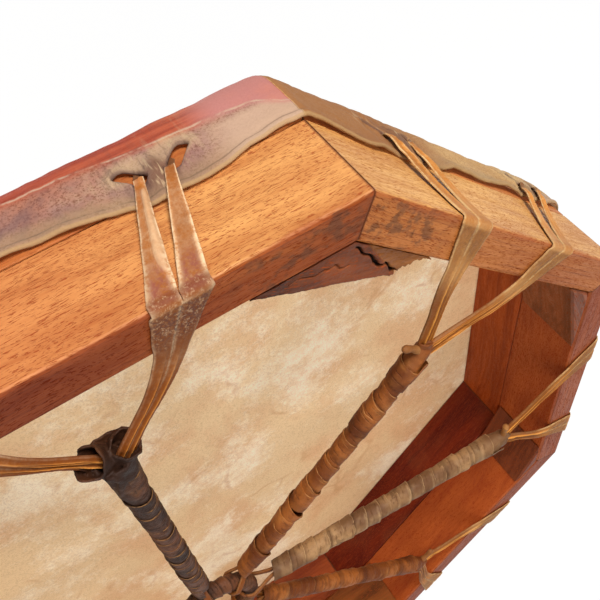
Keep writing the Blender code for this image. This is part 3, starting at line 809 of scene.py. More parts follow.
def head_rings(deep, seed):
    """Rings of the flat head from just inside the fold to the middle."""
    rings = []
    share = np.arange(PER_SIDE) / PER_SIDE * 2 - 1
    for i in range(HEAD_RINGS):
        out = (R_OUT - ROUNDING - 0.003) * (1 - i / HEAD_RINGS)
        ring = np.concatenate([on_side(side, share * out * TAN, out, deep)
                               for side in range(SIDES)])
        calm = smooth(out, R_OUT - 0.020, R_OUT - 0.060)
        rings.append(ring + (0.00035 * ripples(ring, 0.12, seed) * calm)[:, None] * IN)
    return rings


def zip_rows(fine, coarse):
    """Triangles between two closed rows of unlike counts, in step round the rim."""
    fine_at = np.concatenate([side + (u / HALF_SIDE + 1) / 2
                              for side, u in enumerate(columns)] + [[SIDES]])
    coarse_at = np.arange(len(coarse) + 1) / PER_SIDE
    i = j = 0
    faces = []
    while i < len(fine) or j < len(coarse):
        next_fine = fine_at[i + 1] if i < len(fine) else math.inf
        next_coarse = coarse_at[j + 1] if j < len(coarse) else math.inf
        a, c = fine[i % len(fine)], coarse[j % len(coarse)]
        if next_fine <= next_coarse:
            i += 1
            faces.append((a, fine[i % len(fine)], c))
        else:
            j += 1
            faces.append((a, coarse[j % len(coarse)], c))
    return faces


# %% The sheet in one piece
def build_hide(outside, inside):
    points, faces, slots = [], [], []
    values = {}

    def put(rows, marks=None):
        """Stores rows of points and returns their numbers in the same rows."""
        rows = np.asarray(rows)
        first = sum(len(p) for p in points)
        points.append(rows.reshape(-1, 3))
        for key in known:
            plain = FAR_PAST_FOLD if key.startswith("past") else 0.0
            here = marks[key] if marks else plain
            values.setdefault(key, []).append(np.broadcast_to(here, rows.shape[:-1]).ravel())
        return np.arange(first, first + len(points[-1])).reshape(rows.shape[:-1])

    def quads(a, b, slot=0, flip=False, only=None):
        """Four-sided faces between two rows that close round the rim."""
        for j in range(len(a)):
            k = (j + 1) % len(a)
            if only is not None and not (only[j] or only[k]):
                continue
            corners = [a[j], a[k], b[k], b[j]]
            corners = [c for i, c in enumerate(corners) if c != corners[i - 1]]
            if len(corners) > 2:
                faces.append(corners[::-1] if flip else corners)
                slots.append(slot)

    def row_of(marks, number):
        return {key: value[number] for key, value in marks.items()}

    kept = []
    for outer in (True, False):
        low, high, marks = skirt_face(outer)
        known = list(marks)
        low_at = put(low, row_of(marks, slice(0, LOW_ROWS + 1)))
        high_at = put(high, row_of(marks, slice(LOW_ROWS + 1, None)))
        high_at[0] = np.where(open_here, high_at[0], low_at[-1])
        slot, flip = int(not outer), not outer
        deep = DEPTH + GAP + (HIDE if outer else 0)
        rings = [put(ring) for ring in head_rings(deep, 21)]
        middle = put([HOME + deep * IN])
        for rows in (low_at, high_at, [*rings, np.full(len(rings[-1]), middle[0])]):
            for a, b in zip(rows, rows[1:]):
                quads(a, b, slot, flip)
        zipped = zip_rows(list(high_at[-1]), list(rings[0]))
        faces.extend([f[::-1] for f in zipped] if flip else zipped)
        slots.extend([slot] * len(zipped))
        kept.append((low, high, low_at, high_at, marks))

    (low_o, high_o, low_oi, high_oi, marks), (low_i, high_i, low_ii, high_ii, _) = kept
    nose = put((low_o[0] + low_i[0]) / 2 - 0.00022 * IN, row_of(marks, 0))
    quads(low_ii[0], nose)
    quads(nose, low_oi[0])
    pinch = (np.minimum(gape_all, 0.0002))[:, None] * IN
    lower = put((low_o[-1] + low_i[-1]) / 2 + pinch, row_of(marks, LOW_ROWS))
    upper = put((high_o[0] + high_i[0]) / 2 - pinch, row_of(marks, LOW_ROWS))
    upper = np.where(open_here, upper, lower)
    for a, b in ((low_oi[-1], lower), (lower, low_ii[-1]), (high_ii[0], upper),
                 (upper, high_oi[0])):
        quads(a, b, only=open_here)
    used = np.unique(np.concatenate([np.asarray(f) for f in faces]))
    number = np.zeros(sum(len(p) for p in points), int)
    number[used] = np.arange(len(used))
    return add_piece(
        "rawhide_head", "drum_hide", np.concatenate(points)[used],
        [[int(number[c]) for c in f] for f in faces], (outside, inside),
        {key: np.concatenate(value)[used] for key, value in values.items()}, slots, crease=75)


# %% [markdown]
# ### Rawhide, outside and inside
# Where it folded over the wood the skin soaked up red stain from the frame. Below
# that it dried to a mauve grey on the top side and to a pale straw tone on the next
# ones, with a cream haze where the slits stretched it and a pale, rolled cut edge.
# Inside, the head is bare parchment: soft pinkish clouds, white hazy patches, pores
# and faint veins. Numbers stored on the sheet's points tell the material how far a
# place is from the fold, the cut edge and the slits.

# %% Colours given as a picture shows them
def shown(*colour):
    """A colour as pictures store it, from 0 to 255, turned into amounts of light."""
    shares = [value / 255 for value in colour]
    return tuple(v / 12.92 if v <= 0.04045 else ((v + 0.055) / 1.055) ** 2.4 for v in shares)


# %% Shared skin texture
def skin_texture(place, base, cloud, haze, clouds, hazes, pores):
    """Fine grain, pores and clouds of dried skin, as colour, roughness and height."""
    wide = noise(place, 24, 5.0, 0.62, 0.35)
    hazy = noise(stretch(place, (1, 1, 1), (3.1, 1.7, 0.4)), 19, 5.0, 0.6, 0.1)
    grain = noise(place, 1500, 3.0, 0.6)
    pebbles = cells(place, 1150)
    mottle = noise(place, 260, 5.0, 0.75)
    speck = noise(place, 1200, 3.0, 0.75)
    colour = mix(ramp(wide, 0.42, 0.68) * clouds, base, cloud)
    colour = mix(ramp(hazy + mottle * 0.42, 0.66, 0.88) * hazes, colour, haze)
    dots = ramp(pebbles, 0.10, 0.42, 1.0, 0.0).maths("MAXIMUM", ramp(speck, 0.48, 0.64))
    dots = dots * pores * ramp(mottle, 0.15, 0.60)
    colour = mix(dots, colour, dyed(colour, (0.54, 0.42, 0.36)))
    return (colour, ramp(mottle, 0.3, 0.7, 0.42, 0.58),
            grain * 0.35 + pebbles * 0.8 + mottle * 0.8)


SKIN = make_group("skin texture", skin_texture, Base="Color", Cloud="Color", Haze="Color",
                  Clouds="Float", Hazes="Float", Pores="Float")


# %% Outside of the hide
MAUVE = (shown(144, 108, 98), shown(158, 104, 82), shown(168, 140, 114), 0.9, 0.55, 1.0)
STRAW = (shown(190, 152, 102), shown(154, 108, 68), shown(208, 180, 136), 0.7, 0.6, 0.8)
CREAM = (shown(212, 184, 146), shown(184, 140, 102), shown(230, 210, 176), 0.6, 0.8, 0.4)


def hide_outside():
    made, place, past, past_stain, hem, haze, lobe, lip, side, u = new_material(
        "rawhide outside", "past_fold", "past_stain", "above_hem", "haze", "lobe", "lip",
        "side_number", "along_side")
    soft = noise(place, 120, 4.0, 0.65)
    wide = noise(stretch(place, (1, 1, 1), (5, 2, 8)), 38, 4.0, 0.6, 0.6)
    streaks = noise(stretch(place, (30, 500, 500)), 1.0, 3.0)
    painted_creases = noise(stretch(place, (430, 42, 430)), 1.0, 3.0, 0.6)
    top_side = ramp(side, 0.3, 0.45, 1.0, 0.0)
    left_part, near_right = ramp(u, 60, 40), ramp(u, 52, 66)
    wander = (soft - 0.5) * 5.0
    mauve, rough, height = use_group(SKIN, place, *MAUVE)
    colour = mix(top_side, use_group(SKIN, place, *STRAW)[0], mauve)

    # clouds and the paler stretches below the fold
    slate = ramp(wide, 0.46, 0.62) * top_side * left_part
    low_tone = ramp(hem + wander, 8.0, 2.5)
    beige = near_right * ramp(past + wander, -4.0, -7.5)
    for share, tone in ((slate * 0.62, shown(98, 74, 74)),
                        (low_tone * 0.55, shown(150, 122, 90)),
                        (beige * 0.8, shown(176, 146, 124))):
        colour = mix(share, colour, tone)

    # the stained band along the fold and the pale line that it ends in
    stained = past_stain + wander * 0.35
    red = mix(ramp(streaks, 0.35, 0.7), shown(166, 80, 54), shown(126, 48, 32))
    tail = ramp(stained, -3.2, 1.0) * 0.93 * ramp(past, 19.0, 10.0)
    on_top = tail * top_side
    edge_red = ramp(past, 0.5, 6.0) * left_part * on_top
    line = ramp(abs(stained + 0.35), 0.55, 0.1) * ramp(soft, 0.38, 0.55)
    # the stretched places round the slits and the brown left part of the next side
    patch = ramp(haze * 0.8 + soft * 0.7, 0.62, 0.95)
    next_side = ramp(side, 0.55, 0.7) * ramp(side, 1.45, 1.3) * ramp(u, 5, -45, 0.0, 0.85)
    around = (lobe * 0.8).maths("ADD", haze * 0.6, clamp=True)
    # painted shade: a dark line beside the groove that runs above the cut edge
    furrow_shade = ramp(abs(hem - 2.2), 0.5, 0.1) * ramp(wide, 0.42, 0.6)
    for share, tone in (
            (on_top, mix(near_right, red, shown(168, 110, 104))),
            (edge_red * 0.75, shown(138, 44, 22)),
            (tail * ramp(wide, 0.45, 0.7, 0.0, 0.35), shown(186, 110, 76)),
            (line * 0.7, shown(178, 152, 130)),
            (patch * 0.42, shown(186, 162, 124)),
            (next_side, shown(136, 88, 52)),
            (lobe * ramp(soft, 0.25, 0.6, 0.45, 0.9), shown(108, 78, 60)),
            # painted shade in the creases round the slits, and painted highlights on their ridges
            (around * ramp(painted_creases, 0.50, 0.62), shown(78, 56, 50)),
            (around * ramp(painted_creases, 0.44, 0.34), shown(178, 152, 120)),
            (ramp(hem, 0.9, 0.3) * 0.7, shown(160, 128, 88)),
            (furrow_shade * 0.5, shown(92, 72, 56)),
            (lip * 0.65, shown(88, 66, 62))):
        colour = mix(share, colour, tone)
    deep = axes_of(place)[1] + soft * 0.002
    on_front = ramp(deep, BACK_Y + DEPTH - 0.0012, BACK_Y + DEPTH + 0.0012)
    colour = mix(on_front, colour, use_group(SKIN, place, *CREAM)[0])
    return finish_with(made, colour, rough + 0.14, 0.07, height, 0.00022, 0.55)


# %% Inside of the head
# The skin has a painted glow: it gives off light of its own, as if lit through from
# behind, most of it round one spot.
PAINTED_GLOW_SPOT = (0.105, BACK_Y + 0.062, AXIS_Z + 0.055)
PAINTED_GLOW_STRENGTH = 0.26
PARCHMENT = (shown(224, 192, 148), shown(214, 168, 124), shown(244, 228, 200), 0.85, 0.9, 0.4)


def hide_inside():
    made, place = new_material("parchment inside")
    colour, rough, height = use_group(SKIN, place, *PARCHMENT)
    swirl = node(place.tree, "ShaderNodeTexNoise", {"Vector": place, "Scale": 30, "Detail": 3})
    pulled = vectors("SCALE", Value(swirl, "Color"), 0.03, label="Scale")
    veins = ramp(cells(vectors("ADD", place, pulled), 24, "DISTANCE_TO_EDGE"), 0.045, 0.0)
    veins = veins * ramp(noise(place, 40, 3.0), 0.52, 0.66, 0.0, 0.35)
    colour = mix(veins, colour, shown(184, 122, 72))
    far = vectors("DISTANCE", place, PAINTED_GLOW_SPOT, "Value")
    glow = mix(ramp(far, 0.05, 0.20), (1, 1, 1), (0.45, 0.36, 0.27))
    shader = made.node_tree.nodes["Principled BSDF"]
    # painted glow: the parchment emits light, brightest round one spot
    plug(dyed(colour, glow), shader.inputs["Emission Color"])
    plug(PAINTED_GLOW_STRENGTH, shader.inputs["Emission Strength"])
    return finish_with(made, colour, rough, 0.2, height, 0.00016, 0.45)


# %% The head in place
head = build_hide(hide_outside(), hide_inside())

# %% [markdown]
# ## The lacing straps
# Each side has one long strap of the same rawhide, cut about eight millimetres wide
# and put on wet. It comes up the spoke, turns apart in the knot, widens as it spreads
# over the back edge, narrows again to slip into its slit, passes under the hide and
# comes back. Where it is squeezed narrower it folds into ridges. Each strap is swept
# along such a path, its section changing shape on the way.

# %% Sizes of the straps and places of the knots
STRAP = 0.0007
STRAP_WIDE, STRAP_SLIT, STRAP_FOLDED = 0.0083, 0.0025, 0.0026
FOLDED_THICK = 0.0013
FOLDED_GAP, LAYER_GAP, BESIDE_GAP = 0.0002, 0.0004, 0.0001
KNOT_DEEP, KNOT_BEND = 0.0002, 0.005
RING_RADIUS, RING_DEEP, RING_BAR = 0.017, 0.0045, 0.0035
EDGE = 0.001
IN_SPOKE, IN_SLIT = -150.0, 45.0
LAYER = (FOLDED_THICK + LAYER_GAP) / 2
ON_WOOD = GAP + STRAP / 2
# For each knot its place along its side and its distance out from the middle.
KNOTS = ((-0.0030, 0.1485), (-0.0080, 0.1505), (0.0105, 0.1515), (0.003, 0.1535),
         (-0.002, 0.1535), (0.004, 0.1535), (-0.004, 0.1535), (0.002, 0.1535))


def spoke_of(side):
    """A spoke's direction from the middle to its knot, the way across it, its reach."""
    corner = on_side(side, *KNOTS[side], 0.0) - HOME
    ahead = unit(corner)
    return ahead, crosswise(ahead), float(np.linalg.norm(corner))


def spoke_point(side, dist, deep=0.0):
    ahead, _, reach = spoke_of(side)
    share = (dist - RING_RADIUS) / (reach - RING_RADIUS)
    middle = RING_DEEP + (KNOT_DEEP - RING_DEEP) * share
    return HOME + ahead * dist + IN * (middle + deep)


def over_hide(side, u, w, width):
    """How far out a strap's middle lies where it rests on the hide."""
    spots = u + np.linspace(-0.5, 0.5, 7) * width
    top = hide_lift(side, spots, np.full(7, w)).max() + HIDE * 1.22
    return min(top + STRAP / 2 + 0.00012, 0.00212 if side == STANDING_SIDE else 0.006)


# %% Path of one leg of a strap
def leg_path(side, pair, leg):
    """Stations of one leg, from inside its spoke out to the slit and under the hide.

    A station is (place, across, up, width, thickness, run): run is the distance from
    the back edge in millimetres, above zero on the outer face and below it behind.
    """
    t, n = along(side), outward(side)
    ahead, _, reach = spoke_of(side)
    way = (-1, 1)[leg]
    middle, edge_middle, spread = pairs_of(side)[pair]
    layer = LAYER * (1 if pair == 0 else -1)
    corner = spoke_point(side, reach)
    arm = on_side(side, edge_middle, R_OUT, 0.0) - corner
    arm_length, arm = float(np.linalg.norm(arm)), unit(arm)
    turn = KNOT_BEND * math.tan(math.acos(min(1.0, float(ahead @ arm))) / 2)
    out = []

    def folded(place, heading, run):
        beside = crosswise(heading)
        place = place + beside * way * (STRAP_FOLDED + FOLDED_GAP) / 2
        out.append((place, beside, -IN, STRAP_FOLDED, FOLDED_THICK, run - arm_length * 1000))

    for dist in (reach - 0.020, reach - 0.012, reach - turn - 0.001):
        folded(spoke_point(side, dist, layer), ahead, -8)
    start, end = corner - ahead * turn, corner + arm * turn
    for share in (0.25, 0.5, 0.75, 1.0):
        place = start * (1 - share) ** 2 + corner * 2 * share * (1 - share) + end * share ** 2
        heading = unit((corner - start) * (1 - share) + (end - corner) * share)
        folded(place + IN * layer, heading, 4 * share)

    # along the arm in the air and over the back face
    start_u, from_out = float((corner - HOME) @ t), float((corner - HOME) @ n)

    def on_back(out_at, width, thick, deep):
        share = (out_at - from_out) / (R_OUT - from_out)
        lag = 0.30 * smooth(out_at, from_out + 0.004, R_IN) * (1 - share)
        u = start_u + (edge_middle - start_u) * (share + lag) + way * (width + BESIDE_GAP) / 2
        out.append((on_side(side, u, out_at, deep), t, -IN, width, thick,
                    (out_at - R_OUT) * 1000))

    inner_out = R_IN - EDGE
    narrow, wide_in, thick_in = 0.0029, 0.0050, 0.0009
    for share in (0.25, 0.5, 0.75):
        out_at = from_out + (inner_out - from_out) * (0.14 + 0.86 * share)
        thick = FOLDED_THICK + (thick_in - FOLDED_THICK) * share
        deep = KNOT_DEEP + layer * (1 - share) ** 1.5 - (GAP + thick / 2 + KNOT_DEEP) * share
        on_back(out_at, narrow + (wide_in - narrow) * share ** 1.6, thick, deep)
    on_back(inner_out + 0.0004, wide_in, thick_in, -ON_WOOD - 0.0001)
    for off_edge, width in ((0.0100, 0.0064), (0.0045, 0.0075), (EDGE + 0.0008, STRAP_WIDE)):
        on_back(R_OUT - off_edge, width, STRAP, -ON_WOOD)

    # round the back edge
    at_slit = middle + way * (spread - 0.0006)
    at_edge = edge_middle + way * (STRAP_WIDE + BESIDE_GAP) / 2
    bend = EDGE + ON_WOOD
    for angle in (0, 22, 45, 68, 90):
        a = math.radians(angle)
        deep = EDGE - bend * math.cos(a)
        out.append((on_side(side, at_edge, R_OUT - EDGE + bend * math.sin(a), deep), t,
                    n * math.sin(a) - IN * math.cos(a), STRAP_WIDE, STRAP, deep * 1000))

    # up the outer face, over the cut edge and into the slit
    slit, gape, hem = (float(line(side, np.array([at_slit]))[0])
                       for line in (slit_line, slit_gape, hem_line))
    top, lip = slit + gape, slit - gape

    def on_face(w, off=None, narrower=0.0):
        share = max(0.0, (top - w) / (top - EDGE))
        width = STRAP_SLIT + (STRAP_WIDE - STRAP_SLIT) * share ** 1.15 - narrower
        u = at_slit + (at_edge - at_slit) * share
        if off is None:
            off = over_hide(side, u, w, width)
        out.append((on_side(side, u, R_OUT + off, w), t, n, width, STRAP, w * 1000))

    rest = over_hide(side, at_slit + (at_edge - at_slit) * 0.25, hem + 0.001, 0.004)
    for share in (0.12, 0.35, 0.6, 0.82, 0.96):
        on_face(EDGE + (hem - 0.0010 - EDGE) * share, ON_WOOD + (rest - ON_WOOD) * share ** 2.2)
    for share in (0.1, 0.35, 0.65, 0.9):
        on_face(hem + (lip - hem) * share)
    on_face(lip + 0.0002, over_hide(side, at_slit, lip - 0.0006, 0.003) - 0.0001)
    on_face(lip + 0.0011, 0.0015, 0.0002)
    on_face(lip + 0.0019, 0.0008, 0.0003)
    return out


# %% Path of a whole strap
def under_path(side, pair):
    """The strap's turn under the hide, from the left slit of a pair to the right."""
    t, n = along(side), outward(side)
    middle, _, spread = pairs_of(side)[pair]
    out = []
    for a in math.pi * np.linspace(0.04, 0.96, 9):
        u = middle - spread * math.cos(a)
        deep = float(slit_line(side, np.array(u))) + 0.0012 + 0.0032 * math.sin(a)
        across = t * math.cos(a * 0.97) - IN * math.sin(a * 0.97) * 0.9
        out.append((on_side(side, u, R_OUT + 0.00068, deep), unit(across), n,
                    STRAP_SLIT - 0.0003, STRAP, IN_SLIT))
    return out


def ring_path(side):
    """The strap's run down the spoke, round the middle ring and back."""
    ahead, right, reach = spoke_of(side)
    radius = RING_BAR + 0.00045 + FOLDED_THICK / 2
    down = [(dist, 1) for dist in (reach - 0.034, 0.060, 0.0297)]
    places = [(spoke_point(side, dist, LAYER * face), -IN * face) for dist, face in
              down + [(dist, -1) for dist, _ in down[::-1]]]
    loop = []
    for a in math.pi * np.arange(11) / 10:
        toward = IN * math.cos(a) - ahead * math.sin(a)
        loop.append((HOME + ahead * RING_RADIUS + IN * RING_DEEP + toward * radius, -toward))
    return [(place, -right, up, STRAP_FOLDED, FOLDED_THICK, IN_SPOKE)
            for place, up in places[:3] + loop + places[3:]]


def strap_path(side):
    """All stations of one strap, and for each which leg it belongs to."""
    stations, legs = [], []
    for pair in (0, 1):
        up_face = -1 if pair else 1
        for part, leg, way in ((leg_path(side, pair, 0), 2 * pair, 1),
                               (under_path(side, pair), -1, 1),
                               (leg_path(side, pair, 1), 2 * pair + 1, -1)):
            across_face = way * up_face
            stations += [(p, a * across_face, u * up_face, w, h, run)
                         for p, a, u, w, h, run in part[::way]]
            legs += [leg] * len(part)
        if pair == 0:
            ring = ring_path(side)
            stations += ring
            legs += [-1] * len(ring)
    return stations, legs


# %% [markdown]
# The stations are joined by a smooth curve, and a flat section with rounded edges is
# carried along it. The ridges of a folded strap are added to its outer side only, so
# the side that lies on the wood or the hide stays where it is.

# %% Sweeping a folded section along the path
SECTION = 15
FINE_STEP, COARSE_STEP, FINE_FROM = 0.0009, 0.0030, -62


def resample(stations, legs):
    """Close, evenly spaced stations on a smooth curve through the given ones."""
    place = np.array([s[0] for s in stations])
    rest = np.array([np.concatenate([s[1], s[2], s[3:]]) for s in stations])
    at = run_along(place)
    step = np.diff(at)
    legs = np.array(legs)[:-1]
    fine = np.where((legs >= 0) & (rest[:-1, 8] > FINE_FROM), FINE_STEP, COARSE_STEP)
    counts = [max(1, int(round(ratio))) for ratio in step / fine]
    spots = np.concatenate([at[i] + step[i] * np.arange(count) / count
                            for i, count in enumerate(counts)])
    slope = np.empty_like(place)
    slope[1:-1] = (place[2:] - place[:-2]) / (at[2:] - at[:-2])[:, None]
    slope[0], slope[-1] = (place[1] - place[0]) / at[1], (place[-1] - place[-2]) / step[-1]
    i = np.clip(np.searchsorted(at, spots, "right") - 1, 0, len(step) - 1)
    gap = step[i][:, None]
    s = (spots - at[i])[:, None] / gap
    curve = ((2 * s ** 3 - 3 * s ** 2 + 1) * place[i] + (s ** 3 - 2 * s ** 2 + s) * gap * slope[i]
             + (3 * s ** 2 - 2 * s ** 3) * place[i + 1] + (s ** 3 - s ** 2) * gap * slope[i + 1])
    other = rest[i] * (1 - s) + rest[i + 1] * s
    return (curve, other[:, :3], other[:, 3:6], *other[:, 6:].T, np.repeat(legs, counts))


def folds_of(side, leg, t, run, slack):
    """Ridges along the strap: high where it is squeezed narrower than it was cut."""
    rng = np.random.default_rng(100 * side + leg)
    ridges = np.zeros(np.broadcast(t, run).shape)
    if side == 0 and leg == 2:
        on_outside = smooth(run, 1.5, 14)
        centre = 0.95 - 0.55 * on_outside
        tall = 0.00025 + 0.00095 * on_outside
        ridges += tall * bump(t, centre, 0.10 + 0.36 * on_outside, 2.6)
        ridges -= 0.00022 * on_outside * bump(t, centre - 0.52, 0.12)
        ridges += 0.0006 * smooth(-run, 6, 30) * bump(t, 0.25, 0.2, 1.6)
    elif side == 0 and leg == 3:
        ridges += 0.00030 * smooth(run, 0.5, 8) * (bump(t, 0.86, 0.16) + bump(t, -0.86, 0.14))
        ridges += 0.0007 * smooth(-run, 4, 26) * bump(t, -0.15, 0.22, 1.6)
    else:
        for _ in range(2):
            centre = rng.uniform(-0.7, 0.7) + 0.15 * np.sin(run / 9 + rng.uniform(0, 6))
            wide = rng.uniform(0.12, 0.22)
            ridges += rng.uniform(0.5, 1.0) * bump(t, centre, wide, 1.6)
        ridges *= 0.00085 * slack
    return ridges + 0.00012 * slack


def build_strap(side, finish):
    place, across, up, width, thick, run, kind = resample(*strap_path(side))
    across = unit(across)
    up = unit(up - across * (up * across).sum(axis=1)[:, None])
    length = run_along(place)[-1]
    width = width * (1 + 0.035 * ripples(place, 0.010, 40 + side))
    t = np.sin(np.linspace(-math.pi / 2, math.pi / 2, SECTION))
    real_t = t * np.where((across @ along(side)) >= 0, 1.0, -1.0)[:, None]
    slack = np.clip((STRAP_WIDE - width) / 0.0052, 0, 1)[:, None]
    ridges = np.zeros(real_t.shape)
    for leg in range(4):
        mine = kind == leg
        ridges[mine] = folds_of(side, leg, real_t[mine], run[mine, None], slack[mine])
    standing = side == STANDING_SIDE
    seat = smooth(run, 36, 30) * (run < 0 if standing else 1)
    ridges *= np.maximum(seat, 0.25 * (not standing))[:, None]
    half = (thick[:, None] / 2 * (1 - 0.62 * np.abs(t) ** 7))[..., None]
    outer_way = np.where((up * (-IN)).sum(axis=1) + (up @ outward(side)) >= 0, 1.0, -1.0)
    lift = (up * outer_way[:, None])[:, None]
    flat = place[:, None] + across[:, None] * (t[None, :, None] * width[:, None, None] / 2)
    fine = 0.00005 * ripples(flat, 0.0016, 3)
    high = flat + lift * (half + (ridges + fine)[..., None])
    rings = np.concatenate([high, (flat - lift * half)[:, ::-1]], axis=1)
    rings[..., 2] = np.maximum(rings[..., 2], 0.00002)
    both = np.concatenate([real_t, real_t[:, ::-1]], axis=1)
    marks = {"across": both, "run": np.broadcast_to(run[:, None], both.shape),
             "crest": np.concatenate([ridges, 0 * ridges], axis=1) / 0.001}
    add_piece(f"strap_{side + 1}", f"lacing_{side + 1}",
              rings.reshape(-1, 3), tube_faces(rings), (finish,), marks, crease=60)
    print("length", round(length, 3))


# %% [markdown]
# ### Strap rawhide
# The straps are translucent gold where they are thin, whitish along their cut edges
# and crests, and stained mauve and red where they turn over the back edge. Behind,
# they are speckled grey and khaki. The finish reads how far along and across the strap
# a place is, so each tone sits where the photograph has it.

# %% Finish of the straps
def strap_finish(name, gold, pale, dusky, stain, stain_share, back_tone):
    made, place, t, run, crest = new_material(name, "across", "run", "crest")
    soft = noise(place, 260, 4.0, 0.7)
    speck = noise(place, 1300, 2.0, 0.6)
    wide = noise(place, 90, 3.0, 0.6)
    fibre = noise(stretch(place, (700, 700, 700)), 1.0, 2.0)
    pale_dots = noise(place, 900, 4.0, 0.8, 0.4)
    colour, _, height = use_group(SKIN, place, gold, dusky, pale, 0.55, 0.35, 0.3)
    off_middle = abs(t)
    spotty = ramp(soft + speck * 0.5, 0.6, 0.85)

    # the outer face: stained and whitish towards the back edge, dark at the bend
    edge = ramp(off_middle, 0.72, 0.97) * (spotty + 0.35)
    low = ramp(run, 15.0, 5.0) * ramp(run, -1.0, 0.5) * ramp(off_middle, 0.95, 0.5)
    stained = low * ramp(soft * 0.9 + wide * 0.5, 0.52, 0.78) * ramp(speck, 0.38, 0.54, 0.5, 1.0)
    whitish = ramp(run, 20.0, 9.0) * ramp(run, -5.0, -1.0) * spotty * ramp(off_middle, 0.35, 0.9)
    bend = ramp(run, 3.2, 1.0) * ramp(run, -1.2, 0.2)
    # the face on the back ring, and the specks on both sides of the bend
    streak = wide * 0.8 + soft * 0.5
    behind = ramp(run, -0.6, -2.5) * ramp(run, -26.0, -11.0) * ramp(streak, 0.5, 0.8, 0.72, 1.0)
    rim = behind * ramp(off_middle, 0.68, 0.92) * ramp(soft, 0.38, 0.55)
    upper = ramp(run, -16.0, -7.0)
    dark_specks = behind * ramp(speck, 0.47, 0.55) * upper
    pale_specks = ramp(pale_dots, 0.50, 0.68) * upper * ramp(run, 6.0, 1.0)
    # the ridges, the stretch in the air, and painted shade on the end in the slit
    tops = ramp(crest, 0.35, 0.85, 0.0, 0.35) * (behind * -1 + 1)
    umber = mix(ramp(crest, 0.3, 0.9), shown(104, 48, 6), shown(200, 128, 44))
    for share, tone in (
            (ramp(fibre, 0.45, 0.7, 0.0, 0.15), pale),
            (edge.maths("MULTIPLY", 0.75, clamp=True), pale),
            (stained * stain_share, stain),
            (whitish * (0.65 * stain_share), pale),
            (bend * (0.8 * stain_share), shown(100, 44, 30)),
            (behind * 0.9, back_tone),
            (rim * (0.65 - 0.4 * stain_share), pale),
            (dark_specks * stain_share, shown(70, 50, 52)),
            (pale_specks * (0.6 * stain_share), pale),
            (ramp(crest, 0.22, 0.02, 0.0, 0.4), dusky),
            (tops, pale),
            (ramp(run, -14.0, -28.0, 0.0, 0.82), umber),
            # painted shade where the strap slips into its slit
            (ramp(run, 36.2, 38.4, 0.0, 0.75), shown(84, 52, 34))):
        colour = mix(share, colour, tone)
    return finish_with(made, colour, ramp(soft, 0.3, 0.7, 0.46, 0.62), 0.1,
                       height + speck * 0.6, 0.00018, 0.6)


mottled = strap_finish("mottled strap", shown(162, 98, 44), shown(220, 190, 152),
                       shown(114, 62, 28), shown(140, 76, 72), 0.9, shown(78, 30, 10))
golden = strap_finish("golden strap", shown(200, 130, 58), shown(228, 196, 142),
                      shown(140, 84, 36), shown(142, 88, 58), 0.3, shown(132, 86, 42))
for side in range(SIDES):
    build_strap(side, mottled if side in (0, 4) else golden)


# %% [markdown]
# ## The bound spokes
# A leather strip is wound round each pair of straps, from the knot to the middle. A
# new turn lies over the end of the last one, so every turn shows one raised edge that
# faces the knot. No turn is quite like the next: the pitch wanders, the strip narrows
# and its cut edge is ragged. The strip is swept along a helix with a section that
# starts on top of the turn before it and ends on the straps.

# %% Strip wound round a spoke
TURNS, TURN_STEPS = 18, 30
WRAP_END, LAST_TURN = 0.030, 0.0060
STRIP_WIDE, STRIP_THICK = 0.0099, 0.00024


def spoke_axes(side):
    """Start and length of the wrap, its way down and two ways across it."""
    first = KNOTS[side][1] - KNOT_BEND * math.tan(STEP / 2) - GAP
    start, end = spoke_point(side, first), spoke_point(side, WRAP_END)
    length = float(np.linalg.norm(end - start))
    down = (end - start) / length
    return start, length, down, unit(-IN + down * float(down @ IN)), spoke_of(side)[1]


def drifting(rng, turn, step=1.0):
    """A random value for each step of a turn, joined by straight lines."""
    knots = np.arange(0, TURNS + 2, step)
    return np.interp(turn, knots, rng.normal(0, 1, len(knots)))


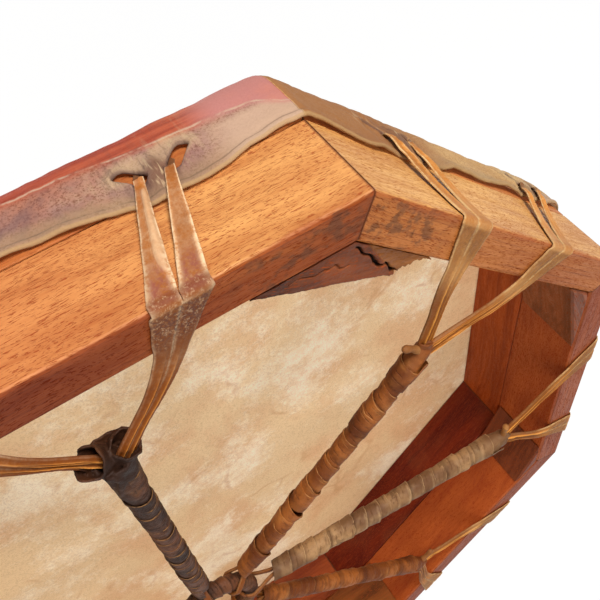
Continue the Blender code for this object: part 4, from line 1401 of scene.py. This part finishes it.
def wound_strip(side, bore, uneven):
    """Rings of the strip's section, turn after turn, and how far across each point is."""
    start, length, down, back, right = spoke_axes(side)
    rng = np.random.default_rng(300 + side)
    turn = np.arange(TURNS * TURN_STEPS + 1) / TURN_STEPS
    drift = drifting(rng, turn)
    drift[0] = 0
    at = (length - LAST_TURN) / TURNS * turn + 0.0008 * uneven * drift * smooth(turn, 0, 1.5)
    wide = STRIP_WIDE + 0.0005 * drifting(rng, turn, 0.5)
    swell = drifting(rng, turn, 0.7)
    ragged = np.convolve(rng.normal(0, 1, len(turn) + 4), (0.2, 0.3, 0.3, 0.2), "same")[2:-2]
    nicked = np.floor(turn * 1.7 + 0.6 * np.sin(turn * 5.1)).astype(int)
    nicks = rng.uniform(0, 1, 40)[nicked] ** 5
    nicks = uneven * np.convolve(np.pad(nicks, 1, "edge"), (0.25, 0.5, 0.25), "valid")
    c = np.array([0, 0.03, 0.10, 0.22, 0.38, 0.6, 0.8, 1.0])
    shoulder = STRIP_THICK * np.array([0.45, 0.08, 0, 0, 0, 0.2, 0.6, 0.95])
    lay = (0.00007 + 0.00055 * nicks)[:, None] * (1 - smooth(c, 0.02, 0.66))
    under = bore + 0.0004 + 0.00065 * smooth(turn, 2.2, 0.0) + 0.00020 * uneven * swell
    along_strip = at[:, None] + wide[:, None] * c
    along_strip[:, :2] += (0.00030 * ragged + 0.0013 * nicks)[:, None]
    a = 2 * math.pi * turn[:, None, None]
    axis = start + down * along_strip[..., None]
    away = back * np.cos(a) + right * np.sin(a)
    wrinkle = 0.00012 * uneven * ripples(axis + away * 0.005, 0.0042, 60 + side)
    wrinkle += 0.00005 * ripples(axis + away * 0.005, 0.0018, 80 + side)
    hollow = 0.00008 * bump(c, 0.5, 0.2)
    top = under[:, None] + lay - hollow + STRIP_THICK - shoulder + wrinkle
    low = under[:, None] + lay * 0.98 - 0.00002
    keep = [7, 4, 2, 0]
    rings = np.concatenate([axis + away * top[..., None],
                            (axis + away * low[..., None])[:, keep]], axis=1)
    return rings, np.broadcast_to(np.concatenate([c, c[keep]]), rings.shape[:2])


# %% [markdown]
# ## The knots
# At each knot the leather goes round both arms of the strap before it starts down the
# spoke, and its own end sticks out as a stub. On the top side it stands open like a
# hood. Turns drawn one by one would cut through each other, so each knot is put
# together from plain parts, such as a sleeve for each arm and a cone for the spoke,
# and these are melted into one skin.

# %% Sleeves and rods
def frames(centres, aim):
    """The heading at each centre of a path and two ways square to it."""
    heading = unit(np.gradient(centres, axis=0))
    first = unit(np.cross(heading, aim))
    return heading, first, np.cross(first, heading)


def arcs(centres, first, second, wide, tall, a):
    """An arc round each centre, from its half width, half height and angles."""
    return (centres[:, None] + first[:, None] * (wide[:, None] * np.cos(a))[..., None]
            + second[:, None] * (tall[:, None] * np.sin(a))[..., None])


def sleeve(centres, wide, tall, thick, seed, wavy):
    """A hollow tube through the centres, open at both ends, as rings to close."""
    heading, first, second = frames(centres, -IN)
    a = np.linspace(0, 2 * math.pi, 28, endpoint=False)
    share = np.linspace(0, 1, len(centres))[:, None]
    rng = np.random.default_rng(seed)
    wave = sum(rng.uniform(0.4, 1) * np.cos(k * a + rng.uniform(0, 6)) for k in (1, 2, 3, 5))
    push = heading[:, None] * (wavy * wave * smooth(share, 0.5, 1.0))[..., None]
    outer, inner = (arcs(centres, first, second, wide - inset, tall - inset, a) + push
                    for inset in (0, thick))
    end = (outer[-1:] + inner[-1:]) / 2 + heading[-1] * thick * 0.3
    return np.concatenate([outer, end, inner[::-1], (outer[:1] + inner[:1]) / 2])


def half_sleeve(centres, wide, tall, thick):
    """The half of a tube that faces the head, as rings of a closed plate."""
    _, first, second = frames(centres, IN)
    second = second * np.sign(second @ IN)[:, None]
    a = np.linspace(-0.15, math.pi + 0.15, 20)
    return np.concatenate([arcs(centres, first, second, wide, tall, a),
                           arcs(centres, first, second, wide - thick, tall - thick, a[::-1])],
                          axis=1)


def rod(centres, radii):
    """A solid rod through the centres."""
    _, first, second = frames(centres, IN)
    a = np.linspace(0, 2 * math.pi, 14, endpoint=False)
    return arcs(centres, first, second, radii, radii, a)


# %% Knots
def knot_parts(side, radius, hood):
    """The strip's turns at the knot, and whether each part closes on itself."""
    ahead, right, reach = spoke_of(side)
    start, _, down, _, _ = spoke_axes(side)
    corner = spoke_point(side, reach)
    arms = [unit(on_side(side, edge, R_OUT, 0.0) - corner) for _, edge, _ in pairs_of(side)]
    steps = np.linspace(0, 1, 11 if hood else 7)[:, None]
    flat = steps[:, 0]
    if not hood:
        # a collar round each arm, a cone onto the wrap and a filling between them
        parts = [(sleeve(corner - arm * 0.001 + arm * long * steps, 0.0031 + 0.0001 * flat,
                         0.0021 + 0.0002 * flat, 0.0008, 4 + side, 0.0002), True)
                 for arm, long in zip(arms, (0.0046, 0.0040))]
        low = start + down * 0.0075
        parts.append((sleeve(low + (corner + ahead * 0.0008 - low) * steps,
                             radius - 0.0003 - 0.0008 * flat, radius - 0.0005 - 0.0013 * flat,
                             0.0010, 9 + side, 0.0003), True))
        fill = corner + ahead * 0.0045 * (steps - 1)
        return parts + [(rod(fill, 0.0019 * np.sin(np.linspace(0.6, 2.5, 7))), False)]
    # a cone, a funnel round each arm, a fan between them and the strip's end over all
    left, other = arms
    top = corner - IN * 0.0004
    low = start + down * 0.0130
    bow = IN * 0.0010 * np.sin(math.pi * steps)
    path = np.array([top + left * 0.0085 - IN * 0.0040 - ahead * 0.0034,
                     top + left * 0.0050 - IN * 0.0046,
                     top + left * 0.0022 - IN * 0.0046 - ahead * 0.0010,
                     top - ahead * 0.0060 - right * 0.0028 - IN * 0.0036,
                     top - ahead * 0.0110 - right * 0.0036 - IN * 0.0026])
    where = np.linspace(0, 4, 17)
    over = np.stack([np.interp(where, np.arange(5), column) for column in path.T], axis=1)
    return [
        (sleeve(low + (top + ahead * 0.0045 - low) * steps, radius - 0.0001 + 0.0014 * flat ** 3,
                radius - 0.0002 + 0.0001 * flat, 0.0011, 1, 0.0004), True),
        (sleeve(top + left * (0.0128 * steps - 0.0020) + bow, 0.0043 + 0.0009 * flat ** 2,
                0.0037 + 0.0010 * flat, 0.0008, 2, 0.0010), True),
        (sleeve(top + other * (0.0110 * steps - 0.0020) + bow, 0.0040 + 0.0009 * flat,
                0.0037 + 0.0007 * flat, 0.0008, 3, 0.0008), True),
        (half_sleeve(top + ahead * (0.0105 * steps - 0.001) + IN * 0.0006 * steps,
                     0.0050 + 0.0042 * flat, 0.0043 + 0.0006 * flat, 0.0008), False),
        (rod(over, 0.0002 + 0.0009 * np.sin(np.linspace(0.2, 2.9, 17))), False)]


def melted(parts, voxel, soften):
    """Joins closed parts into one smooth skin and returns its points and faces."""
    faces, first = [], 0
    for rings, closed in parts:
        faces += tube_faces(rings, first, closed)
        first += rings.shape[0] * rings.shape[1]
    mesh = bpy.data.meshes.new("knot parts")
    mesh.from_pydata(np.concatenate([r.reshape(-1, 3) for r, _ in parts]).tolist(), [], faces)
    draft = in_scene("knot parts", mesh)
    skin = draft.modifiers.new("skin", "REMESH")
    skin.mode = "VOXEL"
    skin.voxel_size = voxel
    calm = draft.modifiers.new("calm", "SMOOTH")
    calm.iterations = soften
    calm.factor = 0.5
    done = draft.evaluated_get(bpy.context.evaluated_depsgraph_get()).to_mesh()
    points = np.empty(len(done.vertices) * 3)
    done.vertices.foreach_get("co", points)
    faces = [tuple(p.vertices) for p in done.polygons]
    bpy.data.objects.remove(draft)
    return points.reshape(-1, 3), faces


def stub_rod(side):
    """The strip's rounded end, which sticks out to the left below the knot."""
    ahead, right, reach = spoke_of(side)
    share = np.linspace(0, 1, 11)
    spots = (spoke_point(side, reach - 0.0006) - right * (0.0018 + 0.0100 * share)[:, None]
             + ahead * (0.0007 * np.sin(share * 2.6))[:, None]
             - IN * (0.0002 + 0.0002 * share)[:, None])
    radii = 0.00135 * np.sqrt(np.clip(1 - np.maximum(share - 0.82, 0) ** 2 / 0.034, 0.02, 1))
    return rod(spots, radii * (1 + 0.12 * np.sin(share * 9)))


# %% [markdown]
# ### Leather of the bindings
# Three leathers are used: a dark brown one on the spoke with the big knot, an amber
# one and a greyish one. All have fine grain, darker creases, painted shade where each
# turn runs under the next, thin light lines where the cut edge shows its raw middle,
# and worn glints along the raised edges.

# %% Finish of the leathers
def leather(name, base, dark, edge_tone, worn, edge_share):
    made, place, across = new_material(name, "across")
    soft = noise(place, 230, 4.0, 0.65)
    wide = noise(place, 75, 3.0, 0.6)
    grain = cells(place, 1500)
    per_turn = noise(stretch(place, (55, 55, 55), (2, 4, 1)), 1.0, 1.0)
    fold = (across + wide * 0.22).maths("PINGPONG", 0.14)
    fold = ramp(fold, 0.035, 0.004) * ramp(soft, 0.4, 0.6)
    rim = ramp(across, 0.040, 0.012) * ramp(soft, 0.35, 0.6)
    rubbed = ramp(abs(across - 0.14), 0.10, 0.0) * ramp(wide, 0.45, 0.65)
    colour = base
    for share, tone in (
            (ramp(per_turn, 0.35, 0.65), dark),
            (ramp(soft, 0.42, 0.72, 0.0, 0.7), dark),
            (ramp(wide, 0.52, 0.75, 0.0, 0.45), worn),
            # painted shade where each turn runs under the edge of the next
            (ramp(across, 0.55, 0.72, 0.0, 0.4), tuple(c * 0.35 for c in dark)),
            (fold * 0.5, dark), (rim * edge_share, edge_tone), (rubbed * 0.5, worn)):
        colour = mix(share, colour, tone)
    return finish_with(made, colour, ramp(soft, 0.3, 0.7, 0.48, 0.7), 0.16,
                       grain * 0.5 + soft * 0.9 - fold * 1.2, 0.00028, 0.8)


DARK = leather("dark leather", shown(92, 54, 32), shown(40, 22, 13), shown(150, 108, 66),
               shown(126, 86, 56), 0.6)
AMBER = leather("amber leather", shown(146, 84, 36), shown(94, 46, 16),
                shown(184, 134, 82), shown(156, 100, 50), 0.5)
GREY = leather("grey leather", shown(152, 116, 78), shown(96, 64, 40),
               shown(196, 162, 116), shown(172, 140, 102), 0.5)
RAW = leather("raw strip end", shown(172, 120, 66), shown(122, 76, 38),
              shown(196, 150, 96), shown(188, 140, 84), 0.4)


# %% The bound spokes in place
KNOT_VOXEL, HOOD_VOXEL = 0.00038, 0.00034
SHADED_LIKE = 0.3


def build_wrap(side, finish, slot, bore, uneven, hood=False):
    rings, across = wound_strip(side, bore, uneven)
    points, faces, marks = [rings.reshape(-1, 3)], tube_faces(rings), [across.ravel()]
    slots = [0] * len(faces)
    knot = melted(knot_parts(side, bore + 0.0014, hood), HOOD_VOXEL if hood else KNOT_VOXEL,
                  3 if hood else 2)
    extra = [(*knot, 0)]
    if not hood:
        stub = stub_rod(side)
        extra.append((stub.reshape(-1, 3), tube_faces(stub), 1))
    for more, more_faces, slot_number in extra:
        more = more - 0.00016 * ripples(more, 0.0035, 90 + side)[:, None] * IN
        more = more + 0.00010 * ripples(more, 0.0014, 91 + side)[:, None] * outward(side)
        first = sum(len(p) for p in points)
        points.append(more)
        faces += [[i + first for i in face] for face in more_faces]
        slots += [slot_number] * len(more_faces)
        marks.append(np.full(len(more), SHADED_LIKE))
    add_piece(f"wrap_{side + 1}", f"spoke_wrap_{side + 1}", np.concatenate(points), faces,
              (finish, RAW), {"across": np.concatenate(marks)}, slots, crease=55)


# For each side its leather, how far the strip lies from the spoke's middle line, how
# uneven its turns are, and whether its knot is an open hood.
WRAPS = ((DARK, "dark_leather", 0.0035, 0.9, True), (AMBER, "amber_leather", 0.0033, 1.2),
         (GREY, "grey_leather", 0.0038, 0.8), (AMBER, "amber_leather", 0.0034, 1.0),
         (DARK, "dark_leather", 0.0034, 1.0), (AMBER, "amber_leather", 0.0034, 1.1),
         (GREY, "grey_leather", 0.0036, 0.9), (AMBER, "amber_leather", 0.0034, 1.0))
for side, choice in enumerate(WRAPS):
    build_wrap(side, *choice)

# %% [markdown]
# ## The ring in the middle
# The photograph ends before the spokes meet. Drums of this kind have a small ring
# there, bound in the same leather, which all straps are looped round.

# %% Middle ring
CORE, RING_TURNS, RING_TURN_STEPS = 0.0029, 26, 20
CORE_STEPS, CORE_ROUND = 72, 10


def ring_points(angle, b, radius):
    """Points of a tube round the drum's middle: angles along and round it."""
    spoke = np.stack([np.cos(angle), 0 * angle, np.sin(angle)], axis=-1)
    section = spoke * np.cos(b)[..., None] + IN * np.sin(b)[..., None]
    return HOME + IN * RING_DEEP + spoke * RING_RADIUS + section * radius[..., None]


def build_ring(finish):
    rng = np.random.default_rng(7)
    turn = np.arange(RING_TURNS * RING_TURN_STEPS + 1) / RING_TURN_STEPS
    c = np.array([0, 0.04, 0.2, 0.5, 0.8, 1.0])
    swell = np.interp(turn, np.arange(RING_TURNS + 1), rng.normal(0, 1, RING_TURNS + 1))
    angle = 2 * math.pi / RING_TURNS * (turn[:, None] + 1.22 * (c - 0.5))
    b = 2 * math.pi * turn[:, None]
    thick = 0.0005 * np.array([0.4, 1, 1, 1, 0.9, 0.3])
    low = CORE + 0.00045 * (1 - smooth(c, 0.05, 0.5)) + 0.00006 * swell[:, None]
    rings = np.concatenate([ring_points(angle, b, low + thick),
                            ring_points(angle, b, low - 0.0001)[:, ::-1]], axis=1)
    across = np.broadcast_to(np.concatenate([c, c[::-1]]), rings.shape[:2])
    theta = np.linspace(0, 2 * math.pi, CORE_STEPS, endpoint=False)[:, None]
    phi = np.linspace(0, 2 * math.pi, CORE_ROUND, endpoint=False)[None]
    core = ring_points(theta + 0 * phi, phi, CORE + 0 * (theta + phi))
    marks = {"across": np.concatenate([across.ravel(), np.full(CORE_STEPS * CORE_ROUND, 0.8)])}
    faces = tube_faces(rings) + tube_faces(core, across.size, closed=True)
    add_piece("middle_ring", "centre_ring",
              np.concatenate([rings.reshape(-1, 3), core.reshape(-1, 3)]), faces, (finish,),
              marks, crease=55)


build_ring(DARK)

# %% [markdown]
# ## Light and floor
# The photograph is lit by a broad soft light from above and a little from the left,
# on a pure white ground. The floor is pale and keeps a soft shadow. The camera sees
# the surroundings as white, while the drum is lit at a plain level.

# %% Light and surroundings
WARM_WHITE, WHITE = (1.0, 0.97, 0.93), (1, 1, 1)
SKY_ON_DRUM = 0.22


def area_light(name, place, size, power):
    lamp = bpy.data.lights.new(name, "AREA")
    lamp.shape = "DISK"
    lamp.size = size
    lamp.energy = power
    lamp.color = WARM_WHITE
    holder = in_scene(name, lamp)
    holder.location = place
    way = Vector((0, 0, AXIS_Z)) - Vector(place)
    holder.rotation_euler = way.to_track_quat("-Z", "Y").to_euler()


def rays_that_see_white(tree):
    """1 for the rays of the camera, of shiny surfaces and of glass, else 0."""
    seen = node(tree, "ShaderNodeLightPath")
    rays = Value(seen, "Is Camera Ray").maths("MAXIMUM", Value(seen, "Is Glossy Ray"))
    return rays.maths("MAXIMUM", Value(seen, "Is Transmission Ray"))


area_light("key light", (0.34, -0.42, 1.85), 0.7, 35)
area_light("back light", (-0.60, -1.75, 0.95), 1.3, 19)
area_light("front light", (-0.60, 1.80, 0.42), 1.3, 20)

world = bpy.data.worlds.new("surroundings")
bpy.context.scene.world = world
world.use_nodes = True
sky = world.node_tree
sky.nodes.clear()
strength = node(sky, "ShaderNodeMapRange", {
    "Value": rays_that_see_white(sky), "To Min": SKY_ON_DRUM, "To Max": 1.0})
background = node(sky, "ShaderNodeBackground", {
    "Color": WHITE, "Strength": Value(strength, "Result")})
node(sky, "ShaderNodeOutputWorld", {"Surface": Value(background)})
print("lights and surroundings made")

# %% Floor
FLOOR_REACH, FLOOR_BELOW = 6.0, 0.0002
FLOOR_LIT, FLOOR_SEEN, FLOOR_GLOW = (0.50, 0.50, 0.495), (0.90, 0.90, 0.895), 0.92


def add_floor():
    mesh = bpy.data.meshes.new("floor")
    corners = [(x * FLOOR_REACH, y * FLOOR_REACH, 0) for x, y in
               ((-1, -1), (1, -1), (1, 1), (-1, 1))]
    mesh.from_pydata(corners, [], [(0, 1, 2, 3)])
    floor = in_scene("floor", mesh)
    floor.location.z = -FLOOR_BELOW
    made = bpy.data.materials.new("pale floor")
    made.use_nodes = True
    tree = made.node_tree
    shader = tree.nodes["Principled BSDF"]
    seen = Value(node(tree, "ShaderNodeLightPath"), "Is Camera Ray")
    plug(mix(seen, FLOOR_LIT, FLOOR_SEEN), shader.inputs["Base Color"])
    plug(0.8, shader.inputs["Roughness"])
    glow = node(tree, "ShaderNodeEmission", {"Color": WHITE, "Strength": 1.0})
    both = node(tree, "ShaderNodeMixShader", {
        0: rays_that_see_white(tree) * FLOOR_GLOW, 1: Value(shader), 2: Value(glow)})
    plug(Value(both), tree.nodes["Material Output"].inputs["Surface"])
    mesh.materials.append(made)
    print("floor made")


add_floor()
bpy.context.scene.view_settings.view_transform = "Standard"
